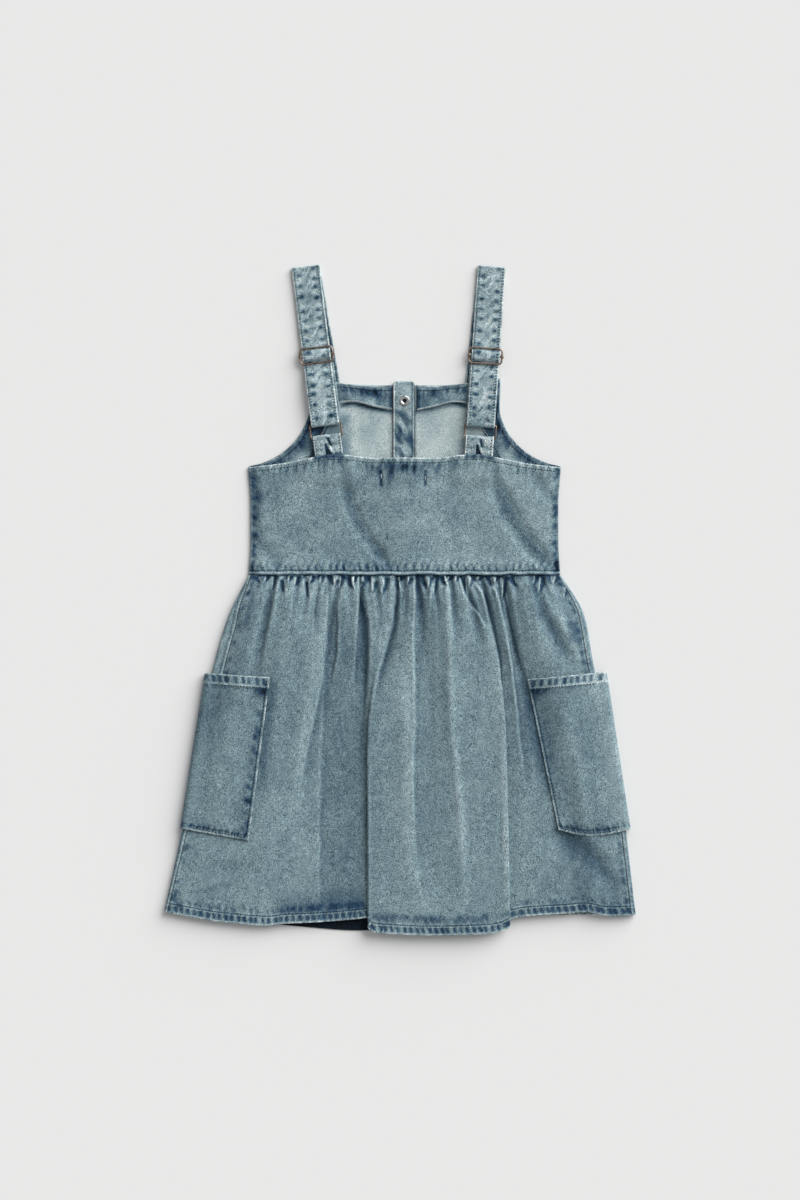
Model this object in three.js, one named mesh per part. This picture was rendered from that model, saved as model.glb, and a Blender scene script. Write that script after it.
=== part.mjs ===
// A child's denim pinafore dress, laid flat on its front with its back up.
// Millimetres. X runs across the dress, Y from the hem up to the shoulders, Z up off the surface it lies on.
// The origin is under the middle of the dress, on that surface.
import * as THREE from "three";

// ---------------------------------------------------------------- driving sizes
const CLOTH = 1.2; // one layer of denim
const FACING_CLOTH = 1.0; // the lighter facing inside the front neck and armholes
const BAND_CLOTH = 1.5; // a placket band, denim folded on itself
const GAP = 0.3; // pieces stand this far apart where they are sewn or lie on each other
const STRAP = { wide: 28, thick: 1.6 };
const WIRE = 1.8; // thickness of the rings' and sliders' wire
const AXIS = 4.5; // the bodice's middle: the skirt spreads a little more to the other side
const WAIST = 25; // Y of the waist seam
const SKIRT_DROP = 340; // from the waist seam down to the mean line of the hem
const SIDE_FOLD = 3.4; // outer radius of the skirt's fold at each side
const HEM = { deep: 13, proud: 0.8 }; // a turned-up hem, and how far it stands proud of the panel

// ---------------------------------------------------------------- small helpers
const lerp = (a, b, t) => a + (b - a) * t;
const bell = (distance, spread) => Math.exp(-((distance / spread) ** 2));
const spread = (from, to, steps) => Array.from({ length: steps + 1 }, (_, i) => lerp(from, to, i / steps));

function smooth(from, to, x) {
  const t = Math.min(1, Math.max(0, (x - from) / (to - from)));
  return t * t * (3 - 2 * t);
}

// A curve through points that never overshoots them: its slope is 0 where the points turn back.
function curveThrough(xs, ys) {
  const rises = xs.slice(1).map((x, i) => (ys[i + 1] - ys[i]) / (x - xs[i]));
  const slopes = xs.map((_, i) => {
    const before = rises[Math.max(0, i - 1)];
    const after = rises[Math.min(rises.length - 1, i)];
    return before * after <= 0 ? 0 : (2 * before * after) / (before + after);
  });
  return (x) => {
    let i = 0;
    while (i < xs.length - 2 && x > xs[i + 1]) i++;
    const wide = xs[i + 1] - xs[i];
    const t = (x - xs[i]) / wide;
    if (t <= 0) return ys[i] + (x - xs[i]) * slopes[i];
    if (t >= 1) return ys[i + 1] + (x - xs[i + 1]) * slopes[i + 1];
    const [t2, t3] = [t * t, t * t * t];
    return (
      (2 * t3 - 3 * t2 + 1) * ys[i] +
      (t3 - 2 * t2 + t) * wide * slopes[i] +
      (3 * t2 - 2 * t3) * ys[i + 1] +
      (t3 - t2) * wide * slopes[i + 1]
    );
  };
}

const column = (rows, key, name) => curveThrough(rows.map((r) => r[key]), rows.map((r) => r[name]));

// ---------------------------------------------------------------- cloth walls
// A closed wall of cloth. Each section is a list of stations across it, {at, outer, inner}, at rising from 0 to 1;
// sections may hold different numbers of stations.
function wallGeometry(sections) {
  const points = [];
  const triangles = [];
  const add = (point) => points.push(point.x, point.y, point.z) / 3 - 1;
  const rows = sections.map((stations) =>
    stations.map(({ at, outer, inner }) => ({ at, outer: add(outer), inner: add(inner) })),
  );
  const quad = (a, b, c, d) => triangles.push(a, b, c, a, c, d);
  for (let r = 1; r < rows.length; r++) {
    const [a, b] = [rows[r - 1], rows[r]];
    for (let i = 0, j = 0; i < a.length - 1 || j < b.length - 1; ) {
      if (j === b.length - 1 || (i < a.length - 1 && a[i + 1].at <= b[j + 1].at)) {
        triangles.push(a[i].outer, b[j].outer, a[i + 1].outer);
        triangles.push(a[i].inner, a[i + 1].inner, b[j].inner);
        i++;
      } else {
        triangles.push(a[i].outer, b[j].outer, b[j + 1].outer);
        triangles.push(a[i].inner, b[j + 1].inner, b[j].inner);
        j++;
      }
    }
    const [aEnd, bEnd] = [a.at(-1), b.at(-1)];
    quad(b[0].outer, a[0].outer, a[0].inner, b[0].inner);
    quad(aEnd.outer, bEnd.outer, bEnd.inner, aEnd.inner);
  }
  const [top, foot] = [rows[0], rows.at(-1)];
  for (let i = 1; i < top.length; i++) quad(top[i - 1].outer, top[i].outer, top[i].inner, top[i - 1].inner);
  for (let i = 1; i < foot.length; i++) quad(foot[i].outer, foot[i - 1].outer, foot[i - 1].inner, foot[i].inner);
  const geometry = new THREE.BufferGeometry();
  geometry.setAttribute("position", new THREE.Float32BufferAttribute(points, 3));
  geometry.setIndex(facingOut(points, triangles));
  geometry.computeVertexNormals();
  return geometry;
}

// The triangles with their corners turned round if the closed surface they make is inside out.
function facingOut(points, triangles) {
  const corner = (i) => new THREE.Vector3(...points.slice(i * 3, i * 3 + 3));
  let volume = 0;
  for (let i = 0; i < triangles.length; i += 3) {
    const [a, b, c] = triangles.slice(i, i + 3).map(corner);
    volume += a.dot(b.cross(c));
  }
  return volume > 0 ? triangles : triangles.reverse();
}

// Sections of a wall whose outer face is surface(across, down) and whose thickness at down lies behind it.
function sectionsOf({ surface, acrossAt, downs, thick, behind = -1 }) {
  const step = 0.01;
  return downs.map((down) => {
    const across = acrossAt(down);
    return across.map((u) => {
      const outer = surface(u, down);
      const along = surface(u + step, down).sub(surface(u - step, down));
      const below = surface(u, down + step).sub(surface(u, down - step));
      const normal = along.cross(below).normalize().multiplyScalar(behind * thick(down));
      const at = (u - across[0]) / (across.at(-1) - across[0]);
      return { at, outer, inner: outer.clone().sub(normal) };
    });
  });
}

// Sections of a flat-lying wall: the inner face is straight below the outer one.
function sectionsLying({ surface, acrossAt, downs, thick }) {
  return downs.map((down) => {
    const across = acrossAt(down);
    return across.map((u) => {
      const outer = surface(u, down);
      const at = (u - across[0]) / (across.at(-1) - across[0]);
      return { at, outer, inner: outer.clone().setZ(outer.z - thick) };
    });
  });
}

// ---------------------------------------------------------------- the skirt's lines
// Lines that run down the skirt, as X at distances below the waist seam. Between them the cloth spreads evenly.
const SKIRT_LINES = [
  { line: "left side", waist: -151, d40: -171, d90: -186, d150: -197, d220: -210.5, hem: -235.5 },
  { line: "left valley", waist: -125.5, d40: -134.5, d90: -143, d150: -150, d220: -160, hem: -178 },
  { line: "left ridge", waist: -92, d40: -97, d90: -104, d150: -112, d220: -122, hem: -141 },
  { line: "trough, left bank", waist: -60, d40: -68, d90: -75.5, d150: -84, d220: -98, hem: -116 },
  { line: "trough, right bank", waist: -40, d40: -37.5, d90: -34.5, d150: -31.5, d220: -31, hem: -30.5 },
  { line: "lobe, left edge", waist: -3.5, d40: -5, d90: -17, d150: -27, d220: -27, hem: -26.5 },
  { line: "lobe, first ridge", waist: 9, d40: 10.5, d90: 10, d150: 8.5, d220: 9, hem: 18 },
  { line: "lobe, valley", waist: 20, d40: 25, d90: 26, d150: 28, d220: 30, hem: 38 },
  { line: "lobe, second ridge", waist: 45, d40: 48, d90: 51, d150: 52.5, d220: 56, hem: 65 },
  { line: "lobe, right bank", waist: 66, d40: 78, d90: 87, d150: 92, d220: 95, hem: 98 },
  { line: "lobe, right edge", waist: 83, d40: 90, d90: 100, d150: 104, d220: 106, hem: 108.5 },
  { line: "right ridge", waist: 93, d40: 100, d90: 109, d150: 115, d220: 122, hem: 131 },
  { line: "right valley", waist: 103.5, d40: 109, d90: 118, d150: 134, d220: 157, hem: 172 },
  { line: "right flank", waist: 141, d40: 155, d90: 165, d150: 180, d220: 195, hem: 207 },
  { line: "right side", waist: 160.5, d40: 184, d90: 193.5, d150: 206, d220: 220.5, hem: 235.5 },
];
const LINE_DROPS = [0, 40, 90, 150, 220, SKIRT_DROP];
const LINE_COLUMNS = ["waist", "d40", "d90", "d150", "d220", "hem"];
const LINE_STARTS = SKIRT_LINES.map((r) => r.waist);
const LINE_PATHS = SKIRT_LINES.map((r) => curveThrough(LINE_DROPS, LINE_COLUMNS.map((name) => r[name])));
const [LEFT, RIGHT] = [LINE_STARTS[0], LINE_STARTS.at(-1)];

// X of the cloth that starts at this place on the waist seam, at a distance below it, and the reverse.
const flowX = (start, down) => curveThrough(LINE_STARTS, LINE_PATHS.map((path) => path(down)))(start);
const flowStart = (x, down) => curveThrough(LINE_PATHS.map((path) => path(down)), LINE_STARTS)(x);
const leftSide = LINE_PATHS[0];
const rightSide = LINE_PATHS.at(-1);

// How far the front panel turns over each side onto the back, and how high the back lies, down the skirt.
const SKIRT_SECTIONS = [
  { down: 0, leftTurn: 1.6, rightTurn: 1.6, level: 8 },
  { down: 8, leftTurn: 3.5, rightTurn: 2.6, level: 10.5 },
  { down: 25, leftTurn: 6, rightTurn: 4.5, level: 13.2 },
  { down: 60, leftTurn: 11, rightTurn: 6, level: 13.6 },
  { down: 95, leftTurn: 11, rightTurn: 6, level: 12 },
  { down: 160, leftTurn: 9, rightTurn: 5.5, level: 10 },
  { down: 255, leftTurn: 5, rightTurn: 4.5, level: 8.6 },
  { down: SKIRT_DROP, leftTurn: 3, rightTurn: 4.5, level: 7.6 },
];
const leftTurn = column(SKIRT_SECTIONS, "down", "leftTurn");
const rightTurn = column(SKIRT_SECTIONS, "down", "rightTurn");
const level = column(SKIRT_SECTIONS, "down", "level");

// Both panels follow the same straight stretches of each side seam, between these distances down the skirt.
const SEAM_DOWNS = [0, 10, 18, 30, 62, 88, 98, 130, 170, 215, 255, 268, 298, SKIRT_DROP - HEM.deep, SKIRT_DROP];

function alongStretches(values) {
  return (down) => {
    const i = Math.min(SEAM_DOWNS.length - 2, Math.max(0, SEAM_DOWNS.findIndex((d) => d > down) - 1));
    const last = down >= SKIRT_DROP ? SEAM_DOWNS.length - 2 : i;
    return lerp(values[last], values[last + 1], (down - SEAM_DOWNS[last]) / (SEAM_DOWNS[last + 1] - SEAM_DOWNS[last]));
  };
}
const leftSeam = alongStretches(SEAM_DOWNS.map((down) => leftSide(down) + leftTurn(down)));
const rightSeam = alongStretches(SEAM_DOWNS.map((down) => rightSide(down) - rightTurn(down)));

// Where the back ends at the side seams, as places along the waist seam.
const seamStarts = (down) => [flowStart(leftSeam(down) + GAP / 2, down), flowStart(rightSeam(down) - GAP / 2, down)];

// The gathers, as places along the waist seam; how deep each valley is and how far down it reaches.
const GATHERS = [
  { at: -140.5, deep: 2.2, reach: 38 },
  { at: -125.5, deep: 4.6, reach: 150 },
  { at: -116, deep: 3.0, reach: 30 },
  { at: -101.5, deep: 3.4, reach: 38 },
  { at: -91.5, deep: 4.2, reach: 58 },
  { at: -81.5, deep: 4.2, reach: 75 },
  { at: -71.5, deep: 3.4, reach: 34 },
  { at: -60, deep: 5.2, reach: 120 },
  { at: -50, deep: 3.4, reach: 36 },
  { at: -40, deep: 5.4, reach: 140 },
  { at: -32, deep: 3.2, reach: 34 },
  { at: -23.5, deep: 4.4, reach: 42 },
  { at: -13.5, deep: 3.4, reach: 44 },
  { at: -3.5, deep: 5.4, reach: 130 },
  { at: 5, deep: 3.4, reach: 60 },
  { at: 16.5, deep: 4.6, reach: 110 },
  { at: 24.5, deep: 3.0, reach: 28 },
  { at: 34, deep: 4.2, reach: 40 },
  { at: 41, deep: 2.6, reach: 26 },
  { at: 49.5, deep: 3.6, reach: 70 },
  { at: 62.5, deep: 4.4, reach: 95 },
  { at: 71.5, deep: 3.2, reach: 28 },
  { at: 82, deep: 5.6, reach: 120 },
  { at: 89, deep: 3.0, reach: 30 },
  { at: 96.5, deep: 3.0, reach: 30 },
  { at: 104, deep: 5.4, reach: 150 },
  { at: 113, deep: 2.6, reach: 26 },
  { at: 130, deep: 3.2, reach: 32 },
  { at: 141, deep: 4.2, reach: 62 },
  { at: 151.5, deep: 2.8, reach: 32 },
];
const GATHER_WIDE = 2.5; // half-width of a gather's valley, along the waist seam

// Long soft swells down the back, as places along the waist seam; negative ones are hollows.
const SWELLS = [
  { at: -150, wide: 12, from: 20, to: 300, high: 0.8 },
  { at: -104, wide: 15, from: 30, to: 260, high: 2.6 },
  { at: -52, wide: 13, from: 60, to: 150, high: -4.2 },
  { at: 9, wide: 7, from: 20, to: 120, high: 1.6 },
  { at: 21, wide: 7, from: 60, to: 130, high: -1.7 },
  { at: 46, wide: 10, from: 20, to: 120, high: 1.8 },
  { at: 94, wide: 4.5, from: 40, to: 110, high: 1.6 },
  { at: 106, wide: 9, from: 60, to: 140, high: -2.4 },
  { at: 128, wide: 9, from: 10, to: 60, high: 2.4 },
];
const SWELL_FADE = 0.35; // the share of a long swell that is left at the hem

// The middle lobe of the back stands up between two overlapping folds.
const LOBE = { from: 70, full: 170, high: 4.6 };
const LEFT_FOLD = { middle: -21.5, half: 18, from: 80, full: 190, lap: 6.5 };
const RIGHT_FOLD = { middle: 83, half: 9, from: 50, full: 170, lap: 3.8 };

// How far the hem lies below its mean line, as places along the waist seam.
const BACK_HEM = [
  { at: LEFT, drop: -4 },
  { at: -125, drop: 6 },
  { at: -80, drop: 9.5 },
  { at: -55, drop: 7 },
  { at: -38, drop: 1 },
  { at: -6, drop: 15 },
  { at: 12, drop: 19 },
  { at: 50, drop: 18 },
  { at: 74, drop: 14 },
  { at: 92, drop: 0 },
  { at: 115, drop: -4 },
  { at: 146, drop: 0 },
  { at: RIGHT, drop: -1 },
];
const backHemDrop = column(BACK_HEM, "at", "drop");
// The same for the front, at X, because the front lies flat.
const FRONT_HEM = [
  { x: -236, drop: -4 },
  { x: -150, drop: 6 },
  { x: -100, drop: 11 },
  { x: -40, drop: 15 },
  { x: 40, drop: 10 },
  { x: 120, drop: -0.5 },
  { x: 236, drop: -1 },
];
const frontHemDrop = column(FRONT_HEM, "x", "drop");
const HEM_CURVE_FROM = 215; // above this the skirt's cross threads lie straight

const foldPhase = (fold, start) => (start - fold.middle) / fold.half;
const foldShare = (fold, down) => smooth(fold.from, fold.full, down);

// How far the fold carries the cloth sideways, and the share of the step up that it has made.
function foldShift(fold, start, down) {
  const phase = foldPhase(fold, start);
  if (Math.abs(phase) >= 1) return 0;
  return -fold.lap * foldShare(fold, down) * Math.sin(Math.PI * phase) * (1 - phase * phase) * 1.3;
}
const foldStep = (fold, start) => smooth(-0.62, 0.62, foldPhase(fold, start));

// Height of the pocket leaf that the skirt's front lies on, near each side.
const POCKET_TOP = -75;
const POCKET_FOOT = -243;
const POCKET_SHARE = { left: 0.155, right: 0.82, ramp: 0.035 }; // places across the skirt, 0 at its left side
const RAMP = 9; // length over which cloth comes down off a layer below it

function pocketLift(x, y) {
  const down = WAIST - y;
  const share = (x - leftSide(down)) / (rightSide(down) - leftSide(down));
  const { left, right, ramp } = POCKET_SHARE;
  const across = 1 - smooth(left, left + ramp, share) + smooth(right - ramp, right, share);
  const along = smooth(POCKET_FOOT - RAMP, POCKET_FOOT, y) * (1 - smooth(POCKET_TOP + 2, POCKET_TOP + 2 + RAMP, y));
  return (CLOTH + GAP) * across * along;
}

// Height of a rounded side fold at a distance in from the silhouette.
const foldTop = (inFrom) => SIDE_FOLD + Math.sqrt(Math.max(0, SIDE_FOLD ** 2 - Math.max(0, SIDE_FOLD - inFrom) ** 2));
const foldUnder = (inFrom) => 2 * SIDE_FOLD - foldTop(inFrom);

// Relief of the back above its general level.
function gatherRelief(start, down) {
  let relief = 0;
  for (const { at, deep, reach } of GATHERS) {
    const strength = (0.35 + 0.65 * smooth(0, 9, down)) * (1 - smooth(reach * 0.3, reach, down));
    const wide = GATHER_WIDE * (1 + down / 90);
    relief -= deep * strength * bell(start - at, wide);
  }
  for (const { at, wide, from, to, high } of SWELLS) {
    const fade = lerp(1, SWELL_FADE, smooth(to, SKIRT_DROP, down));
    relief += high * smooth(from * 0.2, from, down) * fade * bell(start - at, wide);
  }
  const lobe = LOBE.high * smooth(LOBE.from, LOBE.full, down);
  return relief + lobe * foldStep(LEFT_FOLD, start) * (1 - foldStep(RIGHT_FOLD, start));
}

// Height of the skirt's upper face. The pocket lies on the same face with its edge left square.
function skirtHeight(start, down, square = false) {
  const x = flowX(start, down);
  const inFrom = Math.min(x - leftSide(down), rightSide(down) - x);
  const side = pocketLift(x, WAIST - down) + (square ? 2 * SIDE_FOLD : foldTop(inFrom));
  const ramp = smooth(1, 34, inFrom);
  const flat = lerp(side, level(down), ramp);
  return Math.max(flat + ramp * gatherRelief(start, down), 4.4);
}

function backSkirtPoint(start, down) {
  const x = flowX(start, down) + foldShift(LEFT_FOLD, start, down) + foldShift(RIGHT_FOLD, start, down);
  const y = WAIST - GAP - down - backHemDrop(start) * smooth(HEM_CURVE_FROM, SKIRT_DROP, down);
  return new THREE.Vector3(x, y, skirtHeight(start, down) + hemProud(down));
}

// Places along the waist seam where the back's sections have stations: at each gather, then only at the folds.
function gatherStations(down) {
  const edges = seamStarts(down);
  const middles = GATHERS.slice(1).map(({ at }, i) => (at + GATHERS[i].at) / 2);
  const valleys = GATHERS.flatMap(({ at }) => [at - GATHER_WIDE, at, at + GATHER_WIDE]);
  const inside = [...middles, ...valleys].sort((a, b) => a - b);
  const apart = inside.filter((at, i) => i === 0 || at - inside[i - 1] > 0.8);
  return [edges[0], ...apart.filter((at) => at > edges[0] + 2 && at < edges[1] - 2), edges[1]];
}

function foldStations(down) {
  const [first, last] = seamStarts(down);
  const foldAt = ({ middle, half }) => [-1, -0.8, -0.6, -0.4, -0.2, 0, 0.2, 0.4, 0.6, 0.8, 1].map((t) => middle + half * t);
  const plain = [
    ...spread(LEFT + 8, -66, 11),
    ...spread(-60, -44, 3),
    ...spread(1, 71, 11),
    ...spread(94.5, RIGHT - 6, 11),
  ];
  const inside = [...plain, ...foldAt(LEFT_FOLD), ...foldAt(RIGHT_FOLD)].sort((a, b) => a - b);
  return [first, ...inside.filter((at) => at > first + 1.5 && at < last - 1.5), last];
}


const GATHERED_DOWNS = [0, 4, 10, 18, 30, 45, 62];
const FOLDED_DOWNS = [84, 108, 135, 165, 200, 240, 285];
const HEM_DOWNS = [SKIRT_DROP - HEM.deep - 1, SKIRT_DROP - HEM.deep, SKIRT_DROP];
const hemProud = (down) => HEM.proud * smooth(SKIRT_DROP - HEM.deep - 1, SKIRT_DROP - HEM.deep, down);
const skirtThick = (down) => CLOTH + hemProud(down);

function backSkirt() {
  return wallGeometry(
    sectionsOf({
      surface: backSkirtPoint,
      acrossAt: (down) => (down <= GATHERED_DOWNS.at(-1) ? gatherStations(down) : foldStations(down)),
      downs: [...GATHERED_DOWNS, ...FOLDED_DOWNS, ...HEM_DOWNS],
      thick: skirtThick,
    }),
  );
}

// The front of the skirt: girth runs from the left seam on top (-2), round the left fold (-1), along the floor
// and round the right fold (1) to the right seam (2).
const FLOOR_GIRTH = 0.9;

function frontSkirtPoint(girth, down) {
  const side = Math.sign(girth);
  const silhouette = side < 0 ? leftSide(down) : rightSide(down);
  const turned = Math.abs((side < 0 ? leftSeam(down) : rightSeam(down)) - silhouette) - GAP / 2;
  const beyond = Math.abs(girth);
  let [x, z] = [0, 0];
  if (beyond > 1) {
    const inFrom = turned * (beyond - 1);
    x = silhouette - side * inFrom;
    z = skirtHeight(flowStart(x, down), down);
  } else if (beyond > FLOOR_GIRTH) {
    const inFrom = (SIDE_FOLD * (1 - beyond)) / (1 - FLOOR_GIRTH);
    x = silhouette - side * inFrom;
    z = pocketLift(x, WAIST - down) + foldUnder(inFrom);
  } else {
    x = lerp(leftSide(down) + SIDE_FOLD, rightSide(down) - SIDE_FOLD, (girth / FLOOR_GIRTH + 1) / 2);
    z = pocketLift(x, WAIST - down);
  }
  return new THREE.Vector3(x, WAIST - GAP - down - frontHemDrop(x) * smooth(HEM_CURVE_FROM, SKIRT_DROP, down), z);
}

const TURN_GIRTHS = [2, 1.62, 1.3, 1.1, 1.02, 1, 0.999, 0.985, 0.955, FLOOR_GIRTH];
const FRONT_GIRTHS = [
  ...TURN_GIRTHS.map((girth) => -girth),
  ...[-0.75, -0.62, -0.59, -0.56, -0.3, 0, 0.3, 0.52, 0.55, 0.58, 0.75],
  ...[...TURN_GIRTHS].reverse(),
];

function frontSkirt() {
  return wallGeometry(
    sectionsOf({ surface: frontSkirtPoint, acrossAt: () => FRONT_GIRTHS, downs: SEAM_DOWNS, thick: skirtThick, behind: 1 }),
  );
}

// ---------------------------------------------------------------- the pockets
// Each pocket is one panel laid round a side of the skirt: its leaf on the back, the fold, its leaf under the front.
const POCKETS = {
  left: { side: -1, topInner: [-129.4, -77], topFold: [-195, -73], footInner: [-151, -240], footFold: [-219.8, -228.5] },
  right: { side: 1, topInner: [126.8, -79], topFold: [206.4, -72], footInner: [158, -229], footFold: [230.4, -229.5] },
};
const POCKET_HEM = { deep: 14, proud: 0.8 };
const POCKET_SEAT = 0.7; // the leaf on the back clears the skirt by this
const POCKET_BELLY = 1.1; // how far the leaf on the back stands off the skirt in its middle
const POCKET_GAPE = 2.2; // and at its mouth
const POCKET_SAG = { left: 0, right: -6 }; // how far the middle of the foot hangs below its corners

function pocketPoint(pocket, girth, down) {
  const inner = new THREE.Vector2(...pocket.topInner).lerp(new THREE.Vector2(...pocket.footInner), down);
  const fold = new THREE.Vector2(...pocket.topFold).lerp(new THREE.Vector2(...pocket.footFold), down);
  const stack = 2 * SIDE_FOLD + 2 * (CLOTH + GAP); // the skirt's side with the front leaf below it
  const round = stack / 2 + CLOTH / 2;
  const foldStart = fold.clone();
  foldStart.x -= pocket.side * round;
  const sag = (pocket.side < 0 ? POCKET_SAG.left : POCKET_SAG.right) * Math.sin(Math.PI * Math.min(1, girth)) * down ** 6;
  const hem = POCKET_HEM.proud * (1 - smooth(0.083, 0.093, down));
  if (girth <= 1) {
    const plan = inner.clone().lerp(foldStart, girth);
    const start = flowStart(plan.x, WAIST - plan.y);
    const belly = POCKET_BELLY * Math.sin(Math.PI * girth) * (1 - down ** 3);
    const gape = POCKET_GAPE * Math.sin(Math.PI * Math.min(1, girth * 0.8)) * (1 - smooth(0, 0.3, down));
    const seat = skirtHeight(start, WAIST - plan.y, true) + POCKET_SEAT + CLOTH;
    const z = lerp(seat + belly + gape, 2 * round, smooth(0.72, 1, girth));
    return new THREE.Vector3(plan.x, plan.y + sag, Math.max(z, seat) + hem * (1 - smooth(0.85, 1, girth)));
  }
  if (girth < 2) {
    const turn = Math.PI * (girth - 1);
    const x = foldStart.x + pocket.side * round * Math.sin(turn);
    return new THREE.Vector3(x, foldStart.y, round + round * Math.cos(turn));
  }
  const plan = foldStart.clone().lerp(inner, girth - 2);
  return new THREE.Vector3(plan.x, plan.y, 0);
}

const POCKET_GIRTHS = [...spread(0, 1, 8), ...spread(1, 2, 8).slice(1), 2.33, 2.66, 3];
const POCKET_DOWNS = [0, 0.083, 0.093, 0.2, 0.35, 0.5, 0.65, 0.8, 0.9, 1];

function pocket(name) {
  const surface = (girth, down) => pocketPoint(POCKETS[name], girth, down);
  const behind = -POCKETS[name].side;
  return wallGeometry(
    sectionsOf({ surface, acrossAt: () => POCKET_GIRTHS, downs: POCKET_DOWNS, thick: () => CLOTH, behind }),
  );
}

// ---------------------------------------------------------------- the bodice
// Its halves mirror each other about the axis, so places are given as distances out from it.
const BODICE_SIDE = [
  { y: WAIST, out: 155.5 },
  { y: 60, out: 153.6 },
  { y: 95, out: 153.6 },
  { y: 133, out: 156.1 },
];
const sideOut = column(BODICE_SIDE, "y", "out");
const BACK_TOP = [
  { out: 0, y: 140.5 },
  { out: 30, y: 141.8 },
  { out: 58, y: 144.8 },
  { out: 74, y: 145.2 },
  { out: 92, y: 142.2 },
  { out: 125, y: 136 },
  { out: 156.1, y: 132.5 },
];
const backTop = column(BACK_TOP, "out", "y");
const LOOP_OUT = { left: 75, right: 75.5 }; // where the strap loops leave the back

// Soft drag folds in the back bodice: a trough from one point to another.
const DRAG_FOLDS = [
  { from: [-54, 132], to: [-22, 44], wide: 9, deep: 1.7 },
  { from: [98, 132], to: [148, 40], wide: 9, deep: 2.4 },
  { from: [130, 128], to: [152, 98], wide: 7, deep: 1.2 },
  { from: [-146, 60], to: [-120, 32], wide: 7, deep: 0.9 },
];

function dragDepth(x, y) {
  return DRAG_FOLDS.reduce((depth, { from: [x0, y0], to: [x1, y1], wide, deep }) => {
    const [dx, dy] = [x1 - x0, y1 - y0];
    const along = ((x - x0) * dx + (y - y0) * dy) / (dx * dx + dy * dy);
    const aside = ((x - x0) * dy - (y - y0) * dx) / Math.hypot(dx, dy);
    const ends = smooth(-0.15, 0.2, along) * (1 - smooth(0.8, 1.15, along));
    return depth + deep * ends * bell(aside, wide);
  }, 0);
}

function backBodiceHeight(x, y) {
  const out = Math.abs(x - AXIS);
  const inFrom = sideOut(y) - out;
  const sideHeight = GAP + 2 * CLOTH;
  const overPlacket = 2.6 * bell(out, 24);
  const overLoops = smooth(106, 124, y) * (1 - smooth(20, 38, Math.abs(out - 75)));
  const toWaist = 2.6 * (1 - smooth(WAIST, WAIST + 26, y));
  const inside = 5.6 + overPlacket + toWaist * (1 - 0.6 * bell(out, 24)) - dragDepth(x, y);
  const least = lerp(4.6, 7.9, overLoops);
  return lerp(sideHeight, Math.max(inside + 1.2 * overLoops, least), smooth(0.5, 13, inFrom));
}

function backBodicePoint(share, down) {
  const x = AXIS + share * sideOut(lerp(backTop(156 * Math.abs(share)), WAIST, down));
  const y = lerp(backTop(Math.abs(x - AXIS)), WAIST, down);
  return new THREE.Vector3(x, y, backBodiceHeight(x, y));
}

const BODICE_SHARES = [-1, -0.985, -0.96, -0.92, -0.87, ...spread(-0.8, 0.8, 24), 0.87, 0.92, 0.96, 0.985, 1];

function backBodice() {
  return wallGeometry(
    sectionsLying({
      surface: backBodicePoint,
      acrossAt: () => BODICE_SHARES,
      downs: [0, 0.045, 0.12, 0.22, 0.34, 0.46, 0.58, 0.7, 0.8, 0.88, 0.94, 1],
      thick: CLOTH,
    }),
  );
}

// The front halves: from the placket out to the armhole and side, each section a straight line between the two.
const BIB_TOP = { inner: 215, dip: -1, outer: 222 };
const ARMHOLE = [
  { step: 0, out: 96.5, y: 222 },
  { step: 0.1, out: 95.5, y: 190 },
  { step: 0.18, out: 101, y: 171.7 },
  { step: 0.26, out: 112.5, y: 155.6 },
  { step: 0.34, out: 128.5, y: 143 },
  { step: 0.41, out: 143, y: 136.5 },
  { step: 0.47, out: 156.1, y: 132.5 },
  { step: 0.64, out: 153.6, y: 95 },
  { step: 0.82, out: 153.6, y: 60 },
  { step: 1, out: 155.5, y: WAIST },
];
const edgeOut = column(ARMHOLE, "step", "out");
const edgeY = column(ARMHOLE, "step", "y");
const PLACKET = { left: 11.3, right: 9.7, top: 218.5 }; // its edges' distances from the axis, and its top
const neckY = (share) => lerp(BIB_TOP.inner, BIB_TOP.outer, share * share) + BIB_TOP.dip * Math.sin(Math.PI * share);

function bibPoint(side, share, step, height) {
  const inner = (side < 0 ? PLACKET.left : PLACKET.right) + GAP;
  const out = lerp(inner, edgeOut(step), share);
  const straight = lerp(lerp(BIB_TOP.inner, WAIST, step), edgeY(step), share);
  const neck = neckY(share) - lerp(BIB_TOP.inner, BIB_TOP.outer, share);
  const y = straight + neck * (1 - smooth(0, 0.3, step));
  return new THREE.Vector3(AXIS + side * out, y, height);
}

function frontBodiceHalf(side) {
  return wallGeometry(
    sectionsLying({
      surface: (share, step) => bibPoint(side, share, step, CLOTH),
      acrossAt: () => (side < 0 ? spread(1, 0, 10) : spread(0, 1, 10)),
      downs: [0, 0.05, ...ARMHOLE.slice(1).map((r) => r.step)].sort((a, b) => a - b),
      thick: CLOTH,
    }),
  );
}

// The facing inside the front: its free edge, as distances out from the axis, with the neck and armhole as its other edge.
const FACING_EDGE = [
  { step: 0, outer: [12, 214.6], free: [12, 189] },
  { step: 0.12, outer: [32, 213.6], free: [30, 193] },
  { step: 0.24, outer: [55, 215.5], free: [50, 197.5] },
  { step: 0.34, outer: [78, 218.6], free: [62, 196] },
  { step: 0.44, outer: [95.6, 221.4], free: [70, 184] },
  { step: 0.56, outer: [94.8, 192], free: [79, 168] },
  { step: 0.68, outer: [100.4, 171.7], free: [91, 155] },
  { step: 0.78, outer: [112, 155.8], free: [103, 139] },
  { step: 0.88, outer: [128, 142.8], free: [123, 122] },
  { step: 1, outer: [145, 134.5], free: [145, 113] },
];
const facingCurves = ["outer", "free"].map((edge) =>
  [0, 1].map((axis) => curveThrough(FACING_EDGE.map((r) => r.step), FACING_EDGE.map((r) => r[edge][axis]))),
);
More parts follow.
